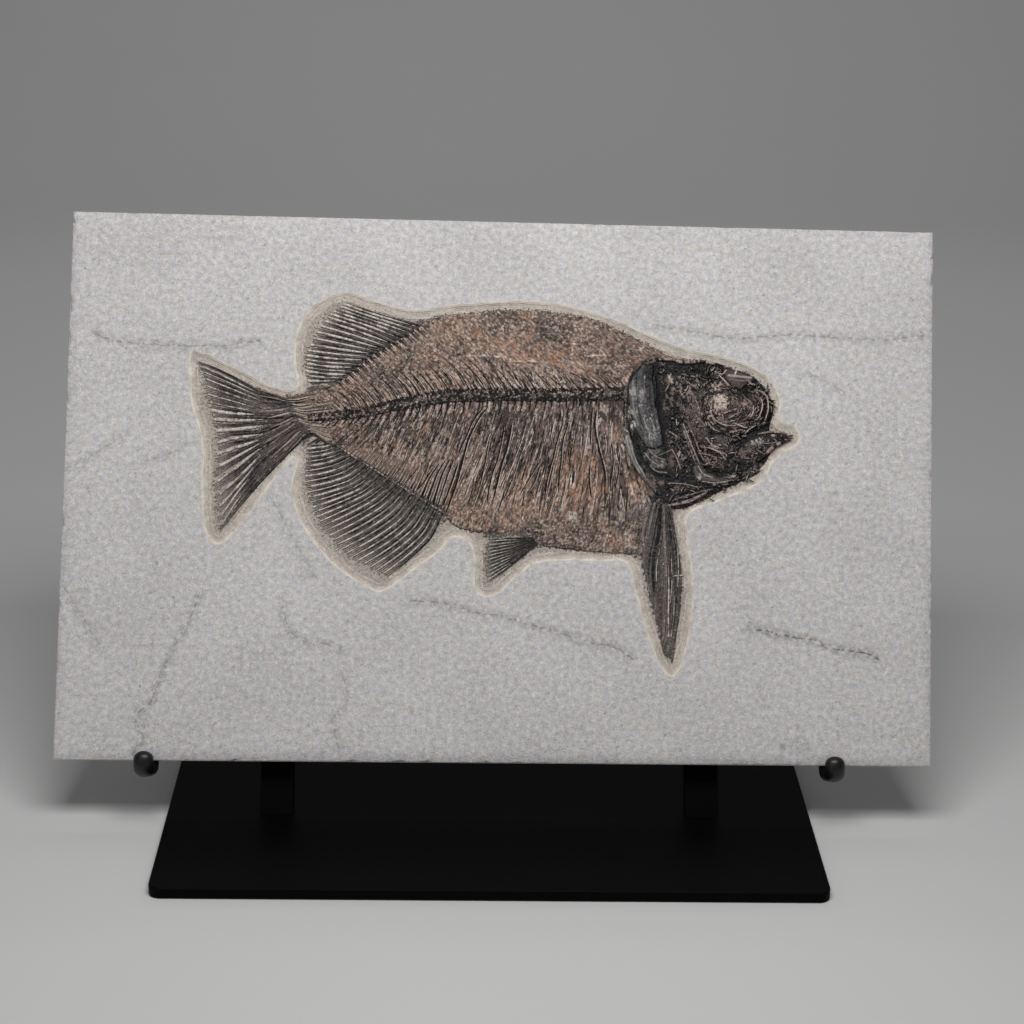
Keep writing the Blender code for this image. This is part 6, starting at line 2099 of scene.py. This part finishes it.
TAIL_RAYS = (
    Ray(dots(171, 273.5, 165, 272, 150, 279.5, 120, 295.5, 102, 302), 1.1, 1.3, 0.92, 3, BLACK, 0.5),
    Ray(dots(172, 272, 164, 270.5, 150, 277, 125, 289, 104, 297.5), 0.95, 1.3, 1.1, 3, BLACK, 0.5),
    Ray(dots(173, 270.5, 164, 269, 150, 274.5, 125, 284.5, 105, 292.5), 0.95, 1.3, 1.2, 3),
    Ray(dots(174, 269, 164, 267.5, 150, 272, 125, 281, 107, 287), 0.95, 1.7, 1.8, 4),
    Ray(dots(175, 267.5, 164, 266, 150, 269, 125, 276.5, 107, 281), 0.95, 2.1, 2.6, 4, DUSK, 0.8),
    Ray(dots(176, 266, 164, 264.5, 150, 266, 125, 270.5, 108, 274), 0.95, 2.4, 3, 5, DUSK, 0.8),
    Ray(dots(177, 264.5, 165, 263, 150, 263.2, 132, 264.8, 111, 268), 0.95, 1.5, 1.8, 3),
    Ray(dots(178, 262.5, 165, 261, 150, 260.5, 135, 260.8, 115, 262), 0.95, 1.5, 1.5, 3),
    Ray(dots(179, 260, 166, 258, 150, 256.3, 130, 254, 114, 254.5), 1.1, 1.4, 1.7, 3),
    Ray(dots(180, 258, 166, 255, 150, 249.5, 130, 247.5, 116, 244.5), 1.1, 1.5, 2, 3),
    Ray(dots(181, 256.5, 167, 252.5, 150, 244.5, 132, 240.5, 118, 236), 1.1, 1.5, 2, 3),
    Ray(dots(182, 255.5, 168, 251, 150, 241.5, 132, 232.5, 117, 226.5), 1.1, 1.7, 2.3, 4),
    Ray(dots(183, 254.5, 170, 249, 151, 239, 134, 228, 116, 216), 1.1, 1.7, 2.4, 4),
    Ray(dots(184, 253.5, 172, 247.5, 152, 234, 136, 219.5, 116, 206), 1.1, 2, 3, 4),
    Ray(dots(185, 252.5, 174, 246, 153, 229.5, 138, 213, 117, 196), 1.1, 2.3, 3, 4),
    Ray(dots(186, 251.5, 176, 244.5, 154, 225.5, 140, 208.5, 118, 188), 1.1, 1.8, 2.4, 4),
    Ray(dots(187, 250.5, 178, 243.5, 156, 222, 141, 204, 119, 181), 1.1, 1.7, 1.8, 3),
    Ray(dots(188, 249.5, 180, 242, 158.5, 219.5, 142, 200.5, 121, 174), 1.1, 1.4, 1.3, 3, BLACK, 0.4),
)

PECTORAL_RAYS = (
    Ray(dots(462, 197, 466, 175, 470.5, 145, 470, 118, 467.5, 100, 465, 78), 1.2, 0.9, 0.6, 1, BLACK, 0.1),
    Ray(dots(460.5, 197, 464, 175, 467.5, 145, 466.5, 118, 463, 95, 461, 84), 1.1, 1.5, 1, 3, CHARCOAL,
        0.7),
    Ray(dots(459, 197, 461.5, 172, 463.5, 145, 462, 115, 459.5, 90), 1.1, 1.5, 1.1, 3, BLACK, 0.7),
    Ray(dots(457.5, 197, 458.5, 172, 459.5, 145, 458.5, 118, 457.5, 92), 1.1, 1.3, 0.9, 2, BROWN, 0.6),
    Ray(dots(458, 197, 456.5, 176, 453.5, 155, 454.5, 135, 456, 112, 458.5, 85), 1.4, 1.1, 0.6, 1, BLACK,
        0.1),
    Ray(dots(456, 197, 454, 176, 450.5, 158, 450, 140, 452, 116), 1.4, 1.3, 0.8, 1, BLACK, 0.5),
    Ray(dots(454, 197, 450.5, 176, 447, 158, 446, 140, 448, 128), 1.2, 1.2, 0.9, 2, CHARCOAL, 0.6),
    Ray(dots(451, 198, 447, 180, 443.5, 162, 442, 150), 1.2, 1.3, 0.8, 2, OLIVE, 0.6),
    Ray(dots(448, 198, 444, 184, 441, 170, 440, 158), 1.2, 1.2, 0.8, 2, BROWN, 0.6),
    Ray(dots(444.5, 198, 441.5, 186, 439, 176), 1.2, 1, 0.7, 2, OLIVE, 0.6),
)


PECTORAL_SLITS: tuple[tuple[float, Line], ...] = (
    (0.35, dots(468, 172, 469, 150, 468.5, 134)), (0.3, dots(466, 128, 465.5, 112, 463.5, 96)),
    (0.3, dots(463.5, 160, 464.2, 140, 463, 122)),
    (0.6, dots(461.5, 150, 461.8, 130, 461.5, 110, 461.8, 96)),
    (0.3, dots(455.5, 166, 452.5, 150, 452.5, 138)), (0.55, dots(462, 141, 467, 142.5, 473, 143)),
)


@dataclass
class Fins:
    """The five fins, each a set of rays lying on the stone."""

    plane: FacePlane
    grain: Grain = field(default_factory=lambda: Grain(61))

    def fin(self, name: str, node: str, rays: tuple[Ray, ...],
            slits: tuple[tuple[float, Line], ...], finishes: Finishes) -> None:
        """Make one fin.

        Args:
            name: name of the piece.
            node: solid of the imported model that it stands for.
            rays: its rays.
            slits: half width and line of the pale slits between them.
            finishes: the part's materials.
        """
        bundle = StrandBundle(0.2)
        for mark, ray in enumerate(rays):
            ray.lay(bundle, self.grain, mark)
        for half, points in slits:
            line = smooth_line(points, 1.2)
            t = shares(len(line))
            broken = rise(self.grain.over(line, 4.0), 0.3, 0.5)
            width = half * (0.3 + 0.7 * rise(t, 0.0, 0.35)) * (0.5 + 0.5 * broken)
            tint = np.outer(0.3 + 0.55 * broken, PALE.value)
            bundle.add(line, width, -0.75, 0.3, tint)
        settle(bundle.piece(name, self.plane), (node,), "fin_bone", finishes.fin)

    def build(self, finishes: Finishes) -> None:
        """Make all fins."""
        self.fin("tail_fin_rays", "tail_fin", TAIL_RAYS, TAIL_SLITS, finishes)
        self.fin("dorsal_fin_rays", "dorsal_fin", fan(DORSAL, 20, (0.54, 0.49, 0.43), 0.9),
            gaps(DORSAL, 20, 0.03, 1.05), finishes)
        self.fin("anal_fin_rays", "anal_fin", fan(ANAL, 30, (0.72, 0.64, 0.56), 0.8),
            gaps(ANAL, 30, 0.16, 0.8), finishes)
        self.fin("pelvic_fin_rays", "pelvic_fin", fan(PELVIC, 12, (0.85, 0.66, 0.55), 0.8),
            gaps(PELVIC, 12, 0.45, 0.45), finishes)
        self.fin("pectoral_fin_rays", "pectoral_fin", PECTORAL_RAYS, PECTORAL_SLITS, finishes)


# --- stand ----------------------------------------------------------------------------

@dataclass
class Stand:
    """Base plate, uprights, cross bar and the two hooked prongs."""

    plane: FacePlane
    shift: float = -5.0
    thickness: float = 8.0
    corner: float = 9.0
    arris: float = 1.0
    prong_spacing: float = 518.0
    prong_width: float = 15.0
    prong_depth: float = 12.0
    prong_tip: float = 7.3
    prong_rear: float = 29.0
    gap: float = 0.3
    slab: float = 20.0

    def base_plate(self, finishes: Finishes) -> None:
        """Make the heavy plate with round corners and a soft arris."""
        low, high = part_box("base_plate")
        turns = np.linspace(0.0, math.pi / 2.0, 13)
        corner = self.corner * MM
        rings = []
        soft = np.linspace(0.0, math.pi / 2.0, 5)
        levels = [(self.arris * (1 - math.sin(x)), self.arris * (1 - math.cos(x))) for x in soft]
        profile = levels + [(inset, self.thickness - z) for inset, z in levels[::-1]]
        for inset, z in profile:
            ring = []
            for quarter, (x, y) in enumerate(((high.x, high.y), (low.x, high.y),
                                              (low.x, low.y), (high.x, low.y))):
                cx = x - math.copysign(corner, x - (low.x + high.x) / 2.0)
                cy = y - math.copysign(corner, y - (low.y + high.y) / 2.0)
                for turn in turns:
                    angle = turn + quarter * math.pi / 2.0
                    reach = corner - inset * MM
                    ring.append((cx + reach * math.cos(angle), cy + reach * math.sin(angle), z * MM))
            rings.append(ring)
        size = len(rings[0])
        verts = [p for ring in rings for p in ring]
        faces = ring_faces(len(rings), size)
        faces.append(tuple(range(size))[::-1])
        faces.append(tuple(range((len(rings) - 1) * size, len(rings) * size)))
        mesh = bpy.data.meshes.new("plate_steel")
        mesh.from_pydata(verts, [], faces)
        smooth = np.ones(len(faces), bool)
        smooth[-2:] = False
        mesh.polygons.foreach_set("use_smooth", smooth)
        piece = link("plate_steel", mesh)
        settle(piece, ("base_plate",), "black_steel", finishes.steel)

    def prong_path(self) -> list[tuple[float, float, float]]:
        """Middle line (v, h, relative thickness) of a prong, from its rear end to its tip."""
        radius = self.prong_depth / 2.0
        run = -radius - self.gap
        rear = -self.slab - self.gap - radius
        front = self.gap + radius
        path = [(self.prong_rear, rear, 0.0), (self.prong_rear, rear, 0.9),
            (self.prong_rear - 0.8, rear, 1.0)]
        for step in range(15):
            turn = math.pi / 2.0 * step / 14.0
            path.append((run + radius * (1 - math.sin(turn)), rear + radius * (1 - math.cos(turn)), 1.0))
        for step in range(15):
            turn = math.pi / 2.0 * step / 14.0
            path.append((run + radius * (1 - math.cos(turn)), front - radius * (1 - math.sin(turn)), 1.0))
        for step in range(1, 13):
            turn = math.pi / 2.0 * step / 12.0
            path.append((self.prong_tip - radius * (1 - math.sin(turn)), front, math.cos(turn)
                if step < 12 else 0.0))
        return path

    def prong(self, name: str, node: str, side: float, finishes: Finishes) -> None:
        """Make one hooked prong.

        Args:
            name: name of the piece.
            node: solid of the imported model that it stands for.
            side: -1 for the left one, 1 for the right one.
            finishes: the part's materials.
        """
        path = np.array(self.prong_path())
        middle = self.plane.middle + self.shift + side * self.prong_spacing / 2.0
        along = np.gradient(path[:, :2], axis=0)
        along /= np.maximum(np.linalg.norm(along, axis=1), 1e-9)[:, None]
        turns = np.linspace(0.0, 2.0 * math.pi, 33)[:-1]
        places = []
        for (v, h, thick), (dv, dh) in zip(path, along):
            across = self.prong_width / 2.0 * thick * np.cos(turns)
            out = self.prong_depth / 2.0 * thick * np.sin(turns)
            places.append(np.column_stack([middle + across, v - dh * out, h + dv * out]))
        size = len(turns)
        piece = make_piece(name, np.vstack(places), ring_faces(len(path), size), {}, self.plane)
        settle(piece, (node,), "black_steel", finishes.prong_steel_with_painted_light)

    def build(self, finishes: Finishes) -> None:
        """Make the stand and coat the plain bars."""
        self.base_plate(finishes)
        self.prong("hook_left", "prong_left", -1.0, finishes)
        self.prong("hook_right", "prong_right", 1.0, finishes)
        for name in ("post_left", "post_right", "cross_bar"):
            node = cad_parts[name]
            node.data.materials.clear()
            node.data.materials.append(finishes.steel)
            LOG.info("%s: carried over, coated", name)


# --- studio ---------------------------------------------------------------------------

@dataclass
class Studio:
    """Pale sweep, soft light and the camera."""

    lens: float = 84.375
    eye: tuple[float, float, float] = (-0.0260, -1.6804, 0.8181)
    tilt: float = 0.33103
    yaw: float = -0.02085
    roll: float = -0.0168
    floor_tone: Colour = srgb(206, 206, 205)
    sky: float = 0.12
    key_power: float = 12.0
    fill_power: float = 1.2
    sweep_power: float = 11.0

    def sweep(self) -> None:
        """Lay the floor and let it rise in a smooth bend far behind."""
        bend = 1.2
        profile = [(-4.0, 0.0), (2.2, 0.0)]
        for step in range(1, 17):
            turn = math.pi / 2.0 * step / 16.0
            profile.append((2.2 + bend * math.sin(turn), bend * (1.0 - math.cos(turn))))
        profile.append((2.2 + bend, 4.0))
        verts = [(x, y, z) for y, z in profile for x in (-5.0, 5.0)]
        faces = [(2 * k, 2 * k + 1, 2 * k + 3, 2 * k + 2) for k in range(len(profile) - 1)]
        mesh = bpy.data.meshes.new("sweep")
        mesh.from_pydata(verts, [], faces)
        mesh.polygons.foreach_set("use_smooth", np.ones(len(faces), bool))
        sweep = link("sweep", mesh)
        material, bench, where = open_material("plain_paper")
        tone = bench.mix(bench.noise(where, 300.0), self.floor_tone,
            tuple(0.97 * c for c in self.floor_tone))
        bench.surface(tone, 0.9, (), 0.2)
        mesh.materials.append(material)
        sweep.location.z = -0.0005

    def lamp(self, name: str, place: tuple[float, float, float], size: tuple[float, float],
             power: float, aim: tuple[float, float, float]) -> None:
        """Hang one soft light.

        Args:
            name: name of the light.
            place: where it hangs, in metres.
            size: its width and height in metres.
            power: its power in watts.
            aim: the point that it shines at.
        """
        data = bpy.data.lights.new(name, "AREA")
        data.shape = "RECTANGLE"
        data.size, data.size_y = size
        data.energy = power
        lamp = link(name, data)
        lamp.location = place
        lamp.rotation_euler = (Vector(aim) - Vector(place)).to_track_quat("-Z", "Y").to_euler()

    def camera(self) -> None:
        """Set the camera."""
        forward = Vector((0.0, 1.0, 0.0))
        right = Vector((1.0, 0.0, 0.0))
        up = Vector((0.0, 0.0, 1.0))
        turn = Matrix.Rotation(self.yaw, 3, "Z")
        forward, right, up = turn @ forward, turn @ right, turn @ up
        dip = Matrix.Rotation(-self.tilt, 3, right)
        forward, up = dip @ forward, dip @ up
        cant = Matrix.Rotation(self.roll, 3, forward)
        right, up = cant @ right, cant @ up
        axes = Matrix((right, up, -forward)).transposed().to_4x4()
        data = bpy.data.cameras.new("camera")
        data.lens = self.lens
        data.sensor_width = 36.0
        camera = link("camera", data)
        camera.matrix_world = Matrix.Translation(self.eye) @ axes
        bpy.context.scene.camera = camera

    def build(self) -> None:
        """Set up the sweep, the light and the camera."""
        scene = bpy.context.scene
        scene.view_settings.view_transform = "Standard"
        world = bpy.data.worlds.new("studio")
        scene.world = world
        world.use_nodes = True
        background = world.node_tree.nodes["Background"]
        background.inputs[0].default_value = (0.97, 0.98, 1.0, 1.0)
        background.inputs[1].default_value = self.sky
        self.sweep()
        self.lamp("key_softbox", (0.02, -0.6, 1.22), (0.9, 0.45), self.key_power, (0.0, 0.05, 0.25))
        self.lamp("fill_softbox", (-1.2, -1.5, 0.9), (1.0, 1.0), self.fill_power, (0.0, 0.0, 0.2))
        self.lamp("sweep_softbox", (0.0, 1.3, 1.9), (2.6, 0.6), self.sweep_power, (0.0, 2.8, 0.2))
        self.camera()


def main() -> None:
    """Build the part's finish in order, then the studio round it."""
    logging.basicConfig(level=logging.INFO, format="%(message)s")
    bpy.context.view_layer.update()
    finishes = Finishes()
    plane = FacePlane()
    Slab(plane).build(finishes)
    Flank(plane).build(finishes)
    Backbone(plane).build(finishes)
    Head(plane).build(finishes)
    Fins(plane).build(finishes)
    Stand(plane).build(finishes)
    Studio().build()


if __name__ == "__main__":
    main()
